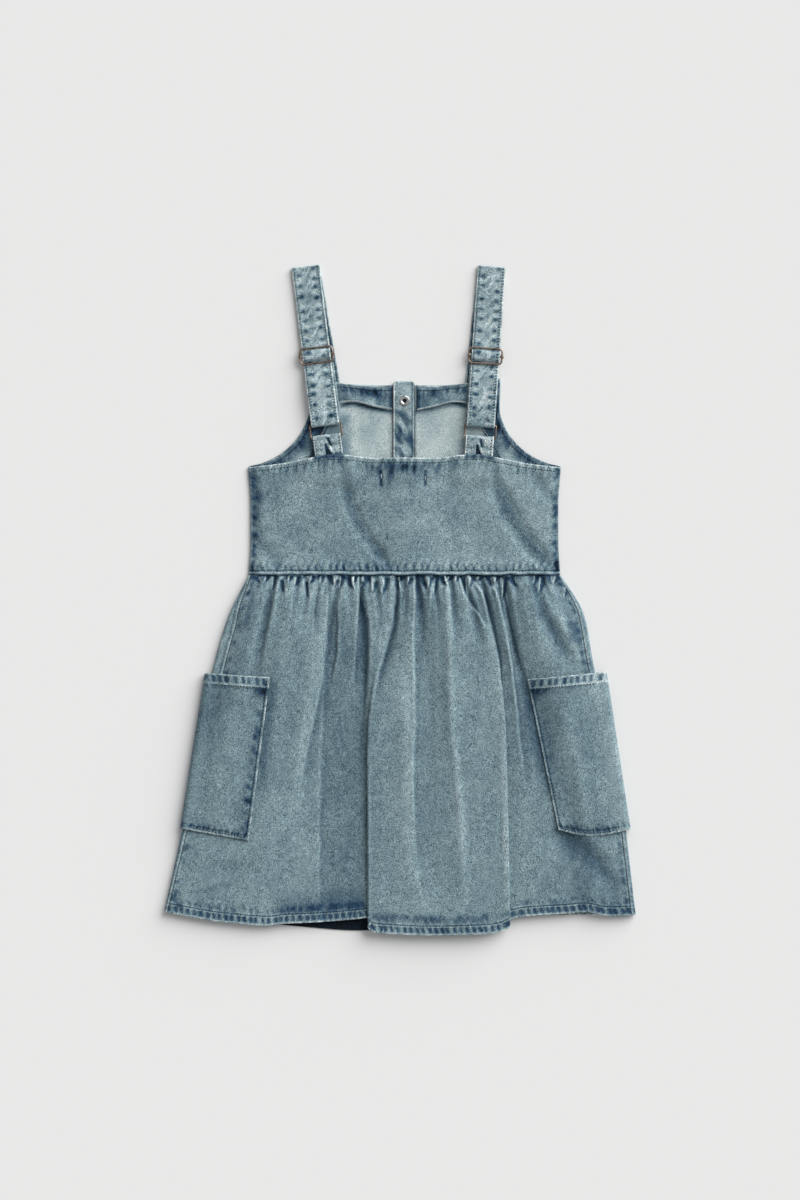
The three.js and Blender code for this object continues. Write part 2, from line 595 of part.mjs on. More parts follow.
const STRAP_END = { out: 78, wide: 21.5, y: 208, lift: STRAP.thick + GAP }; // the facing rides over the strap's sewn end

function facingPoint(side, across, step) {
  const [out, y] = [0, 1].map((axis) => lerp(facingCurves[0][axis](step), facingCurves[1][axis](step), across));
  const overStrap = STRAP_END.lift * (1 - smooth(STRAP_END.wide, STRAP_END.wide + 8, Math.abs(out - STRAP_END.out)));
  const onStrap = overStrap * smooth(STRAP_END.y - 13, STRAP_END.y - 5, y);
  const curl = 3.2 * smooth(0.25, 1, across) * bell(step - 0.17, 0.13) * Math.sin(Math.PI * Math.min(1, step / 0.36));
  return new THREE.Vector3(AXIS + side * out, y, CLOTH + GAP + FACING_CLOTH + onStrap + curl);
}

function facing(side) {
  return wallGeometry(
    sectionsLying({
      surface: (across, step) => facingPoint(side, across, step),
      acrossAt: () => spread(0, 1, 5),
      downs: spread(0, 1, 20),
      thick: FACING_CLOTH,
    }),
  );
}

// ---------------------------------------------------------------- the placket and its snaps
const SNAP = { ys: [199, 137, 75], x: 4.6, cap: 6.5, capThick: 0.9, ring: 5.2, hole: 2.1, ringThick: 0.8, reach: 13 };
const snapLift = (y) => SNAP.ys.reduce((lift, at) => lift + (SNAP.capThick + GAP) * bell(y - at, SNAP.reach) ** 0.5, 0);
const snapFlat = (y) => Math.min(snapLift(y), SNAP.capThick + GAP);

function placketBand(floor) {
  const gapped = { left: AXIS - PLACKET.left + GAP / 2, right: AXIS + PLACKET.right - GAP / 2 };
  return wallGeometry(
    sectionsLying({
      surface: (share, y) =>
        new THREE.Vector3(lerp(gapped.left, gapped.right, share), y, floor + snapFlat(y) + BAND_CLOTH),
      acrossAt: () => [0, 1],
      downs: [PLACKET.top, ...SNAP.ys.flatMap((at) => spread(at + 15, at - 15, 6)), WAIST + GAP],
      thick: BAND_CLOTH,
    }),
  );
}

function snapCap() {
  const profile = [
    [0, 0],
    [SNAP.cap - 0.5, 0],
    [SNAP.cap, 0.4],
    [SNAP.cap, SNAP.capThick],
    [0, SNAP.capThick],
  ].map(([r, z]) => new THREE.Vector2(r, z));
  return new THREE.LatheGeometry(profile, 16).rotateX(Math.PI / 2);
}

function snapRing() {
  const profile = [
    [SNAP.hole, 0],
    [SNAP.ring, 0],
    [SNAP.ring, 0.35],
    [SNAP.ring - 0.9, SNAP.ringThick],
    [SNAP.hole + 0.7, SNAP.ringThick],
    [SNAP.hole, 0.3],
    [SNAP.hole, 0],
  ].map(([r, z]) => new THREE.Vector2(r, z));
  return new THREE.LatheGeometry(profile, 16).rotateX(Math.PI / 2);
}

// ---------------------------------------------------------------- the straps, loops, rings and sliders
const RING = { wide: 33, tall: 15.8, corner: 3 };
const SLIDER = { wide: 34.5, tall: 17.2, corner: 4.5 };
const SLIDER_AT = 89; // distances down the strap from its shoulder fold
const RING_AT = 164.5;
const BAR_APART = SLIDER.tall / 2 - WIRE / 2;
const RING_BAR = RING.tall / 2 - WIRE / 2;
const ROUND_BAR = WIRE / 2 + GAP + STRAP.thick / 2; // radius of the strap's middle round a bar
const RING_Z = 5.7;
const SLIDER_Z = 6.6;
const HUMP_Z = SLIDER_Z + WIRE / 2 + GAP + STRAP.thick / 2;
const UNDER_BAR_Z = SLIDER_Z - WIRE / 2 - GAP - STRAP.thick / 2;

// Each strap's shoulder fold, the direction it runs down the back, and how far its other layers lie to one side.
const STRAPS = {
  left: { side: -1, shoulder: [-94.3, 332.6], lean: 7.1, frontDrift: 5.2, returnDrift: 2.2 },
  right: { side: 1, shoulder: [91.6, 332.4], lean: -4, frontDrift: 3.8, returnDrift: 1.2 },
};

// The strap's middle, from its sewn end on the bib, over the shoulder, through the slider, round the ring and back.
// run: distance down from the shoulder fold; drift: 1 on the front layer, 2 on the returning one.
const turn = (run, z, radius, from, to, drift) =>
  spread(from, to, 6).map((angle) => ({
    run: run + radius * Math.sin((angle * Math.PI) / 180),
    z: z + radius * Math.cos((angle * Math.PI) / 180),
    drift,
  }));
const STRAP_PATH = [
  { run: 125, z: 2.3, drift: 1 },
  { run: 119, z: 2.3, drift: 1 },
  { run: 112, z: 2.3, drift: 1 },
  { run: 104, z: 0.85, drift: 1 },
  { run: 80, z: 0.8, drift: 1 },
  { run: 40, z: 0.8, drift: 1 },
  { run: 8, z: 0.8, drift: 1 },
  ...turn(1.05, 1.8, 1.0, 180, 360, 0),
  { run: 8, z: 2.9, drift: 0 },
  { run: 40, z: 3.2, drift: 0 },
  { run: 68, z: 3.8, drift: 0 },
  { run: SLIDER_AT - BAR_APART - 2.5, z: UNDER_BAR_Z, drift: 0 },
  { run: SLIDER_AT - BAR_APART + 0.9, z: UNDER_BAR_Z + 0.1, drift: 0 },
  { run: SLIDER_AT - 2.2, z: HUMP_Z - 0.2, drift: 0 },
  { run: SLIDER_AT + 2.2, z: HUMP_Z - 0.2, drift: 0 },
  { run: SLIDER_AT + BAR_APART - 0.9, z: UNDER_BAR_Z + 0.1, drift: 0 },
  { run: SLIDER_AT + BAR_APART + 2.5, z: UNDER_BAR_Z + 0.1, drift: 0 },
  { run: 111, z: 7.7, drift: 0 },
  { run: 126, z: 8.2, drift: 0 },
  { run: 142, z: 8.0, drift: 0 },
  ...turn(RING_AT - RING_BAR, RING_Z, ROUND_BAR, 0, 180, 0),
  { run: 148, z: 3.9, drift: 2 },
  { run: 139, z: 5.0, drift: 2 },
  { run: 132, z: 6.0, drift: 2 },
  { run: 122, z: 6.1, drift: 2 },
  { run: 112, z: 5.7, drift: 2 },
  { run: 104, z: 3.4, drift: 2 },
  { run: 98, z: 2.75, drift: 2 },
  { run: 94.5, z: 3.1, drift: 2 },
  { run: SLIDER_AT + 1.5, z: 4.4, drift: 2 },
  { run: SLIDER_AT - 1.5, z: UNDER_BAR_Z, drift: 2 },
];
// The loop's middle: under the back, up round the ring's lower bar and back under.
const LOOP_FOOT = 205;
const LOOP_PATH = [
  { run: LOOP_FOOT, z: 5.7, drift: 0 },
  { run: 190, z: 5.7, drift: 0 },
  { run: 181, z: 6.4, drift: 0 },
  ...turn(RING_AT + RING_BAR, RING_Z, ROUND_BAR, 360, 180, 0),
  { run: 181, z: 3.7, drift: 0 },
  { run: 190, z: 3.7, drift: 0 },
  { run: LOOP_FOOT, z: 3.7, drift: 0 },
];

// A place on a strap: down its length, to one side of its middle, and up.
function strapPlace({ side, shoulder, lean, frontDrift, returnDrift }, { run, z, drift }, aside) {
  const angle = (lean * Math.PI) / 180;
  const inward = -side * (drift === 1 ? (frontDrift * run) / 112 : drift === 2 ? returnDrift : 0);
  const [across, down] = [aside + inward, run];
  return new THREE.Vector3(
    shoulder[0] + across * Math.cos(angle) + down * Math.sin(angle),
    shoulder[1] + across * Math.sin(angle) - down * Math.cos(angle),
    Math.max(0, z),
  );
}

function ribbon(strap, path, wide, steps) {
  const middle = new THREE.CatmullRomCurve3(
    path.map(({ run, z }) => new THREE.Vector3(run, z, 0)),
    false,
    "centripetal",
  );
  const drifts = new THREE.CatmullRomCurve3(
    path.map(({ drift }) => new THREE.Vector3(drift === 1 ? 1 : 0, drift === 2 ? 1 : 0, 0)),
    false,
    "centripetal",
  );
  const sections = spread(0, 1, steps).map((t) => {
    const point = middle.getPoint(t);
    const tangent = middle.getTangent(t);
    const [nx, nz] = [(-tangent.y * STRAP.thick) / 2, (tangent.x * STRAP.thick) / 2];
    const share = drifts.getPoint(t);
    const inward =
      -strap.side * ((share.x * strap.frontDrift * point.x) / 112 + Math.min(1, Math.max(0, share.y)) * strap.returnDrift);
    return [-wide / 2, wide / 2].map((aside, i) => ({
      at: i,
      outer: strapPlace(strap, { run: point.x + nx, z: point.y + nz, drift: 0 }, aside + inward),
      inner: strapPlace(strap, { run: point.x - nx, z: point.y - nz, drift: 0 }, aside + inward),
    }));
  });
  return wallGeometry(sections);
}

// A frame of wire with rounded corners, lying flat, with bars across it at the given places.
function wireFrame({ wide, tall, corner }, windows) {
  const rounded = (path, w, h, middle, r) => {
    const [x, y] = [w / 2, h / 2];
    path.moveTo(-x + r, middle - y);
    path.lineTo(x - r, middle - y).absarc(x - r, middle - y + r, r, -Math.PI / 2, 0, false);
    path.lineTo(x, middle + y - r).absarc(x - r, middle + y - r, r, 0, Math.PI / 2, false);
    path.lineTo(-x + r, middle + y).absarc(-x + r, middle + y - r, r, Math.PI / 2, Math.PI, false);
    path.lineTo(-x, middle - y + r).absarc(-x + r, middle - y + r, r, Math.PI, Math.PI * 1.5, false);
    return path;
  };
  const bevel = WIRE * 0.28;
  const shape = rounded(new THREE.Shape(), wide - 2 * bevel, tall - 2 * bevel, 0, corner - bevel);
  shape.holes = windows.map(({ middle, high }) =>
    rounded(new THREE.Path(), wide - 2 * WIRE + 2 * bevel, high + 2 * bevel, middle, Math.min(corner - WIRE, 1.6) + bevel),
  );
  return new THREE.ExtrudeGeometry(shape, {
    depth: WIRE - 2 * bevel,
    bevelThickness: bevel,
    bevelSize: bevel,
    bevelSegments: 1,
    curveSegments: 2,
  }).translate(0, 0, -(WIRE - 2 * bevel) / 2);
}

const ringGeometry = () => wireFrame(RING, [{ middle: 0, high: RING.tall - 2 * WIRE }]);
const sliderGeometry = () => {
  const high = BAR_APART - WIRE;
  return wireFrame(SLIDER, [-1, 1].map((side) => ({ middle: (side * BAR_APART) / 2, high })));
};

// ---------------------------------------------------------------- materials and assembly
const denim = new THREE.MeshStandardMaterial({ color: 0x7590a0, roughness: 0.92, metalness: 0 });
const denimInside = new THREE.MeshStandardMaterial({ color: 0xa9b7b9, roughness: 0.95, metalness: 0 });
const copper = new THREE.MeshStandardMaterial({ color: 0x8a6f60, roughness: 0.38, metalness: 0.9 });
const nickel = new THREE.MeshStandardMaterial({ color: 0xc9c9c7, roughness: 0.25, metalness: 1 });

const dress = new THREE.Group();

function place(name, geometry, material, parent = dress) {
  const mesh = new THREE.Mesh(geometry, material);
  mesh.name = name;
  parent.add(mesh);
  return mesh;
}

place("back_skirt", backSkirt(), denim);
place("front_skirt", frontSkirt(), denim);
place("back_bodice", backBodice(), denim);
place("front_bodice_left", frontBodiceHalf(-1), denimInside);
place("front_bodice_right", frontBodiceHalf(1), denimInside);
place("front_facing_left", facing(-1), denim);
place("front_facing_right", facing(1), denim);
place("placket_outer_band", placketBand(0), denim);
place("placket_inner_band", placketBand(BAND_CLOTH + GAP), denim);
place("pocket_left", pocket("left"), denim);
place("pocket_right", pocket("right"), denim);

for (const [name, strap] of Object.entries(STRAPS)) {
  place(`strap_${name}`, ribbon(strap, STRAP_PATH, STRAP.wide, 92), denim);
  place(`strap_loop_${name}`, ribbon(strap, LOOP_PATH, STRAP.wide, 30), denim);
  const hardware = [
    ["ring", ringGeometry(), RING_AT, RING_Z],
    ["slider", sliderGeometry(), SLIDER_AT, SLIDER_Z],
  ];
  for (const [part, geometry, run, z] of hardware) {
    const mesh = place(`${part}_${name}`, geometry, copper);
    mesh.position.copy(strapPlace(strap, { run, z, drift: 0 }, 0));
    mesh.rotation.z = (strap.lean * Math.PI) / 180;
  }
}

SNAP.ys.forEach((y, i) => {
  const cap = place(`snap_cap_${i + 1}`, snapCap(), nickel);
  cap.position.set(SNAP.x, y, 0);
  const ring = place(`snap_ring_${i + 1}`, snapRing(), nickel);
  ring.position.set(SNAP.x, y, 2 * (BAND_CLOTH + GAP) + SNAP.capThick + GAP);
});

export default dress;
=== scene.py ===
import math

import bmesh
import bpy
import numpy as np
from mathutils import Matrix, Vector


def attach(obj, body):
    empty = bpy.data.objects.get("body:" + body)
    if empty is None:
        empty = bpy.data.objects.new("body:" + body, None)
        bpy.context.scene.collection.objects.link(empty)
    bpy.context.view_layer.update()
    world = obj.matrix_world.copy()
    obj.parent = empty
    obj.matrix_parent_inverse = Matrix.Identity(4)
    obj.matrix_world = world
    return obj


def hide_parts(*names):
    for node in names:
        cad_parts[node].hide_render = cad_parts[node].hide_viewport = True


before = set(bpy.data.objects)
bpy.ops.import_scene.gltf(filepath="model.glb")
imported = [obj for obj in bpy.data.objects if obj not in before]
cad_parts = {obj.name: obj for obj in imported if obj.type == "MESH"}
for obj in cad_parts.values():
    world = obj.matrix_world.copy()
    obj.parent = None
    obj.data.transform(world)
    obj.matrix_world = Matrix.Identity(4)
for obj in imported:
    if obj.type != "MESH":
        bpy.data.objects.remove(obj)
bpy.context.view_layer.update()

MM = 0.001  # shapes are worked out in millimetres, as the cloth was cut

# ------------------------------------------------------------------ the camera and the light
EYE_HEIGHT = 3.0
LENS = 90
SENSOR = 36


def placed(name, data):
    """A new object in the scene, at the origin."""
    piece = bpy.data.objects.new(name, data)
    bpy.context.collection.objects.link(piece)
    return piece


def set_camera():
    lens = bpy.data.cameras.new("overhead")
    lens.lens = LENS
    lens.sensor_width = SENSOR
    lens.clip_end = 20
    camera = placed("overhead", lens)
    camera.location = (0, 0, EYE_HEIGHT)
    bpy.context.scene.camera = camera
    bpy.context.scene.view_settings.view_transform = "Standard"


set_camera()

KEY_TURN = 46  # degrees from +X towards +Y
KEY_HEIGHT = 31  # degrees above the table
KEY_SOFT = 56  # how many degrees wide the key light looks from the dress
KEY_SHARE = 0.62  # of the light that falls on the table
TABLE_LIGHT = 1.02


def set_light():
    key = bpy.data.lights.new("key", "SUN")
    rise = math.radians(KEY_HEIGHT)
    key.energy = TABLE_LIGHT * KEY_SHARE * math.pi / math.sin(rise)
    key.angle = math.radians(KEY_SOFT)
    key.color = (1.0, 0.992, 0.98)
    turn = math.radians(KEY_TURN)
    towards = Vector((math.cos(turn) * math.cos(rise), math.sin(turn) * math.cos(rise), math.sin(rise)))
    placed("key", key).rotation_euler = towards.to_track_quat("Z", "Y").to_euler()
    world = bpy.data.worlds.new("studio")
    world.use_nodes = True
    sky = world.node_tree.nodes["Background"]
    sky.inputs["Color"].default_value = (0.985, 0.99, 1.0, 1)
    sky.inputs["Strength"].default_value = TABLE_LIGHT * (1 - KEY_SHARE)
    bpy.context.scene.world = world


set_light()

# ------------------------------------------------------------------ sizes shared with the solids
CLOTH = 1.2
FACING_CLOTH = 1.0
BAND_CLOTH = 1.5
GAP = 0.3  # between two layers
STRAP_WIDE, STRAP_THICK = 28, 1.6
WIRE = 1.8
AXIS = 4.5  # x of the bodice's middle
WAIST = 25  # y of the waist seam
SKIRT_DROP = 340
SIDE_FOLD = 3.4  # half the height of the fold that the front makes round each side
HEM_DEEP, HEM_PROUD = 10, 0.8
HEM_STITCHES = HEM_DEEP - 0.8


# ------------------------------------------------------------------ small helpers
def lerp(a, b, t):
    return a + (b - a) * t


def bell(distance, spread):
    return np.exp(-((distance / spread) ** 2))


def smooth(start, end, x):
    t = np.clip((np.asarray(x, float) - start) / (end - start), 0, 1)
    return t * t * (3 - 2 * t)


def curve_through(xs, ys):
    """A curve through points that never overshoots them: flat where they turn back."""
    xs, ys = np.asarray(xs, float), np.asarray(ys, float)
    rises = np.diff(ys) / np.diff(xs)
    before, after = np.append(rises[0], rises), np.append(rises, rises[-1])
    same_way = before * after > 0
    slopes = np.where(same_way, 2 * before * after / np.where(same_way, before + after, 1), 0)

    def at(x):
        x = np.asarray(x, float)
        i = np.clip(np.searchsorted(xs, x, side="right") - 1, 0, len(xs) - 2)
        wide = xs[i + 1] - xs[i]
        t = np.clip((x - xs[i]) / wide, 0, 1)
        value = (
            (2 * t**3 - 3 * t**2 + 1) * ys[i]
            + (t**3 - 2 * t**2 + t) * wide * slopes[i]
            + (3 * t**2 - 2 * t**3) * ys[i + 1]
            + (t**3 - t**2) * wide * slopes[i + 1]
        )
        before_it = np.minimum(x - xs[i], 0) * slopes[i]
        after_it = np.maximum(x - xs[i + 1], 0) * slopes[i + 1]
        return value + before_it + after_it

    return at


def table(columns, *rows):
    """A table with named columns, as one array for each."""
    return {name: np.array(values, float) for name, values in zip(columns.split(), zip(*rows))}


def column(rows, key, name):
    return curve_through(rows[key], rows[name])


def chance(ix, iy, seed):
    """The same number from 0 to 1 each time for a place on a lattice."""
    mask = 0xFFFFFFFF
    h = (ix.astype(np.int64) * 374761393 + iy.astype(np.int64) * 668265263 + seed * 1442695041) & mask
    h = ((h ^ (h >> 13)) * 1274126177) & mask
    return ((h ^ (h >> 16)) & 0xFFFFFF) / 0xFFFFFF


def mottle(x, y, seed=0):
    """Smooth patches from -1 to 1, about one unit across."""
    x, y = np.broadcast_arrays(np.asarray(x, float), np.asarray(y, float))
    ix, iy = np.floor(x), np.floor(y)
    fx, fy = x - ix, y - iy
    fx, fy = fx * fx * (3 - 2 * fx), fy * fy * (3 - 2 * fy)
    corner = [[chance(ix + i, iy + j, seed) for i in (0, 1)] for j in (0, 1)]
    low = lerp(corner[0][0], corner[0][1], fx)
    high = lerp(corner[1][0], corner[1][1], fx)
    return 2 * lerp(low, high, fy) - 1


def pucker(run, inward, pitch, seed, slant=0.45):
    """Uneven ribs of a stitched band, from -1 in a dip to 1 on a rib; run goes along it and inward across."""
    run = np.asarray(run, float) + slant * inward
    wander = 0.42 * mottle(run / (pitch * 2.3), inward / 30, seed)
    wave = np.cos(2 * math.pi * (run / pitch + wander))
    strength = 0.62 + 0.5 * mottle(run / (pitch * 1.6), inward / 12, seed + 7)
    return wave * strength


def blots(run, inward, wide, long, seed):
    """Uneven dark patches along an edge, from 0 to 1."""
    drift = 0.4 * mottle(inward / long, run / 40, seed + 9)
    return np.clip(1.5 * mottle(run / wide + drift, inward / long, seed), 0, 1)


def beads(run, pitch, seed, long, least=0.4):
    """One mark from 0 to 1 for each pitch along a run, unevenly spaced, some long and some faint."""
    k = np.rint(run / pitch)
    place = pitch * (k + 0.4 * chance(k, 0 * k, seed) - 0.2)
    strength = least + (1 - least) * chance(k, 0 * k + 1, seed)
    return strength * bell(run - place, long * (0.75 + 0.5 * chance(k, 0 * k + 2, seed)))


def blurred(values, across, down):
    """A box blur over a grid of values."""
    for reach, axis in ((down, 0), (across, 1)):
        rim = [(0, 0), (0, 0)]
        rim[axis] = (reach + 1, reach)
        total = np.moveaxis(np.cumsum(np.pad(values, rim, mode="edge"), axis), axis, 0)
        width = 2 * reach + 1
        values = np.moveaxis((total[width:] - total[:-width]) / width, 0, axis)
    return values


def nearest(places, place):
    """Which of the places is nearest to one."""
    return np.argmin(np.abs(places - place))


# ------------------------------------------------------------------ the skirt's lines
# x of each line of the skirt's cloth at the waist seam, and 40 to 220 mm and all the way down from it.
SKIRT_LINES = table(
    "waist d40 d90 d150 d220 hem",
    (-151, -171, -186, -197, -210.5, -235.5),  # left side
    (-125.5, -134.5, -143, -150, -160, -178),  # left valley
    (-92, -97, -104, -112, -122, -141),  # left ridge
    (-60, -68, -75.5, -84, -98, -116),  # trough, left bank
    (-40, -37.5, -34.5, -31.5, -31, -30.5),  # trough, right bank
    (-3.5, -5, -17, -27, -27, -26.5),  # lobe, left edge
    (9, 10.5, 10, 8.5, 9, 18),  # lobe, first ridge
    (20, 25, 26, 28, 30, 38),  # lobe, valley
    (45, 48, 51, 52.5, 56, 65),  # lobe, second ridge
    (66, 78, 87, 92, 95, 98),  # lobe, right bank
    (83, 90, 100, 104, 106, 108.5),  # lobe, right edge
    (93, 100, 109, 115, 122, 131),  # right ridge
    (103.5, 109, 118, 134, 157, 172),  # right valley
    (141, 155, 165, 180, 195, 207),  # right flank
    (160.5, 184, 193.5, 206, 220.5, 235.5),  # right side
)
LINE_DROPS = [0, 40, 90, 150, 220, SKIRT_DROP]
LINE_STARTS = SKIRT_LINES["waist"]
LEFT, RIGHT = LINE_STARTS[0], LINE_STARTS[-1]
LINE_PATHS = [curve_through(LINE_DROPS, path) for path in zip(*SKIRT_LINES.values())]
left_side, right_side = LINE_PATHS[0], LINE_PATHS[-1]

# Where each thread that starts at the waist seam has got to, every few millimetres down the skirt.
FLOW_STEP = 4
FLOW_STARTS = np.linspace(LEFT, RIGHT, 420)
FLOW_XS = np.array(
    [
        curve_through(LINE_STARTS, [path(down) for path in LINE_PATHS])(FLOW_STARTS)
        for down in np.arange(0, SKIRT_DROP + 3 * FLOW_STEP, FLOW_STEP)
    ]
)


def flow_row(down):
    row = np.clip(np.asarray(down, float) / FLOW_STEP, 0, len(FLOW_XS) - 1.001)
    k = np.floor(row).astype(int)
    return k, row - k


def flow_x(start, down):
    start, down = np.broadcast_arrays(np.asarray(start, float), np.asarray(down, float))
    k, along = flow_row(down)
    place = (start - LEFT) / (RIGHT - LEFT) * (len(FLOW_STARTS) - 1)
    i = np.clip(np.floor(place).astype(int), 0, len(FLOW_STARTS) - 2)
    t = place - i
    above = lerp(FLOW_XS[k, i], FLOW_XS[k, i + 1], t)
    below = lerp(FLOW_XS[k + 1, i], FLOW_XS[k + 1, i + 1], t)
    return lerp(above, below, along)


def flow_start(x, down):
    x, down = np.broadcast_arrays(np.asarray(x, float), np.asarray(down, float))
    k, along = flow_row(down)
    start = np.zeros_like(x)
    for row in np.unique(k):
        here = k == row
        above = np.interp(x[here], FLOW_XS[row], FLOW_STARTS)
        below = np.interp(x[here], FLOW_XS[row + 1], FLOW_STARTS)
        start[here] = lerp(above, below, along[here])
    return start


SKIRT_SECTIONS = table(
    "down left_turn right_turn level",
    (0, 1.6, 1.6, 8),
    (8, 3.5, 2.6, 10.5),
    (25, 6, 4.5, 13.2),
    (60, 11, 6, 13.6),
    (95, 11, 6, 12),
    (160, 9, 5.5, 10),
    (255, 5, 4.5, 8.6),
    (SKIRT_DROP, 3, 4.5, 7.6),
)
left_turn = column(SKIRT_SECTIONS, "down", "left_turn")
right_turn = column(SKIRT_SECTIONS, "down", "right_turn")
level = column(SKIRT_SECTIONS, "down", "level")


def left_seam(down):
    return left_side(down) + left_turn(down)


def right_seam(down):
    return right_side(down) - right_turn(down)


GATHERS = table(
    "at deep reach",
    (-140.5, 2.2, 38),
    (-125.5, 4.6, 150),
    (-116, 3.0, 30),
    (-101.5, 3.4, 38),
    (-91.5, 4.2, 58),
    (-81.5, 4.2, 75),
    (-71.5, 3.4, 34),
    (-60, 5.2, 120),
    (-50, 3.4, 36),
    (-40, 5.4, 140),
    (-32, 3.2, 34),
    (-23.5, 4.4, 42),
    (-13.5, 3.4, 44),
    (-3.5, 5.4, 130),
    (5, 3.4, 60),
    (16.5, 4.6, 110),
    (24.5, 3.0, 28),
    (34, 4.2, 40),
    (41, 2.6, 26),
    (49.5, 3.6, 70),
    (62.5, 4.4, 95),
    (71.5, 3.2, 28),
    (82, 5.6, 120),
    (89, 3.0, 30),
    (96.5, 3.0, 30),
    (104, 5.4, 150),
    (113, 2.6, 26),
    (130, 3.2, 32),
    (141, 4.2, 62),
    (151.5, 2.8, 32),
)
GATHER_WIDE = 2.2
GATHER_SHARE = 0.8  # the creases and pleats carry the rest
SWELLS = table(
    "at wide start end high",
    (-150, 12, 20, 300, 0.8),
    (-104, 15, 30, 260, 2.6),
    (-52, 13, 60, 150, -4.2),
    (9, 7, 20, 120, 1.6),
    (21, 7, 60, 130, -1.7),
    (46, 10, 20, 120, 1.8),
    (94, 4.5, 40, 110, 1.6),
    (106, 9, 60, 140, -2.4),
    (128, 9, 10, 60, 2.4),
)
SWELL_FADE = 0.35
LOBE_FROM, LOBE_FULL, LOBE_HIGH = 70, 170, 4.6
LEFT_FOLD = {"middle": -21.5, "half": 18, "start": 80, "full": 190, "lap": 4.0}
RIGHT_FOLD = {"middle": 83, "half": 9, "start": 50, "full": 170, "lap": 3.8}
BACK_HEM = table(
    "at drop",
    (LEFT, -4),
    (-125, 6),
    (-80, 9.5),
    (-55, 7),
    (-38, 1),
    (-6, 15),
    (12, 19),
    (50, 18),
    (74, 14),
    (92, 0),
    (115, -4),
    (146, 0),
    (RIGHT, -1),
)
back_hem_drop = column(BACK_HEM, "at", "drop")
FRONT_HEM = table(
    "x drop",
    (-236, -4),
    (-150, 6),
    (-100, 11),
    (-40, 15),
    (40, 10),
    (120, -0.5),
    (236, -1),
)
front_hem_drop = column(FRONT_HEM, "x", "drop")
HEM_CURVE_FROM = 215

# Creases pressed into the back as it lay: points along each one, the side that drops away (1 to the left of
# someone who walks down it, -1 to the right), how deep it drops, how far the cloth takes to rise again, and
# how high its edge is.
CREASES = [
    (((-123.5, 24), (-125, 4), (-130, -21), (-135, -43), (-142, -75)), -1, 2.8, 5, 0.8),
    (((-112, 23), (-115, 10), (-119, 2)), -1, 2.4, 3, 0.6),
    (((-96.5, 23), (-94.5, 12), (-94, -3)), 1, 2.4, 3.5, 0.5),
    (((-81.5, 22), (-83, 8), (-86, -14), (-88, -44)), 1, 2.8, 5, 0.9),
    (((-72, 23), (-71.6, 0), (-72.5, -30)), 1, 2.2, 3, 0.5),
    (((-72.5, -18), (-73, -40), (-77, -80), (-88, -130), (-106, -215)), 1, 4.8, 9, 0.6),
    (((-62.5, -11), (-62.5, -30), (-63, -50), (-70, -95)), -1, 3.4, 5, 0.6),
    (((-76, -92), (-79, -150), (-81, -240), (-79, -360)), 1, 2.2, 16, 0.2),
    (((-40, 24), (-40.5, 0), (-42, -20)), 1, 3.4, 3, 0.8),
    (((-40, 0), (-43.5, -40), (-47, -100)), 1, 3.4, 7, 0.4),
    (((-39.5, 5), (-36, -6), (-31.5, -20), (-31, -60), (-35, -110), (-36, -150)), -1, 4.4, 6, 0.9),
    (((-25, 24), (-27, 12), (-30, 0)), -1, 1.8, 3, 0.4),
    (((-4.5, 24), (-4.5, 0), (-7, -27), (-13, -48), (-21, -70), (-30, -120)), 1, 4.0, 6, 0.9),
    (((5.5, 24), (5, 8), (1, -16)), -1, 2.0, 3, 0.6),
    (((15.5, 24), (15.5, 5), (14, -40), (15.5, -85), (13.5, -180), (16, -250), (26, -310)), 1, 3.8, 10, 0.8),
    (((33, 23), (32, 12), (30, -12)), 1, 2.2, 4, 0.7),
    (((46, 24), (49.5, 8), (51, -8), (54, -50)), 1, 2.8, 5, 0.5),
    (((60, 23), (64, 8), (70, -3), (80, -17), (92, -34)), 1, 3.0, 6, 0.8),
    (
        ((72, 22), (81, 10), (87, -6), (92, -25), (98, -60), (101, -95), (103.5, -190), (107.5, -360)),
        *(1, 4.6, 7, 1.0),
    ),
    (((86, 22), (96, 10), (101, -8), (107, -33), (112, -62), (116, -100), (126, -205)), 1, 4.0, 5, 0.9),
    (((103, 23), (106, 0), (112, -28), (119, -57), (129, -90)), -1, 4.6, 5, 0.8),
    (((-145, -238), (-162, -257), (-192, -262), (-222, -263)), 1, 1.2, 12, 0.4),
    (((-165, -276), (-190, -284), (-224, -293)), 1, 1.6, 8, 0.4),
]

# Long soft ridges: points down each one, how wide and how high.
RIDGES = [
    (((46, 6), (49, -60), (51.5, -130), (58, -190), (63, -275)), 4.5, 1.6),
    (((-2, -60), (5, -130), (6, -190), (8, -250), (22, -292)), 8, 1.3),
    (((147, 20), (149, 4), (156, -14), (165, -28), (174, -42), (185, -64)), 6, 3.0),
    (((136, 20), (139, 5), (142, -15), (150, -28), (158, -42), (171, -62)), 6, -2.6),
    (((-84, -40), (-89, -80), (-97, -130), (-112, -190)), 7, 1.0),
    (((106, -220), (107, -260), (108, -310)), 4, 1.2),
    (((20, -295), (40, -303), (70, -304)), 9, 1.0),
    (((-152, 10), (-156, -12), (-164, -40), (-180, -70)), 7, 1.8),
    (((146, -226), (172, -244), (196, -264), (228, -292)), 11, -2.6),
    (((178, -226), (196, -238), (216, -256)), 9, 1.5),
]

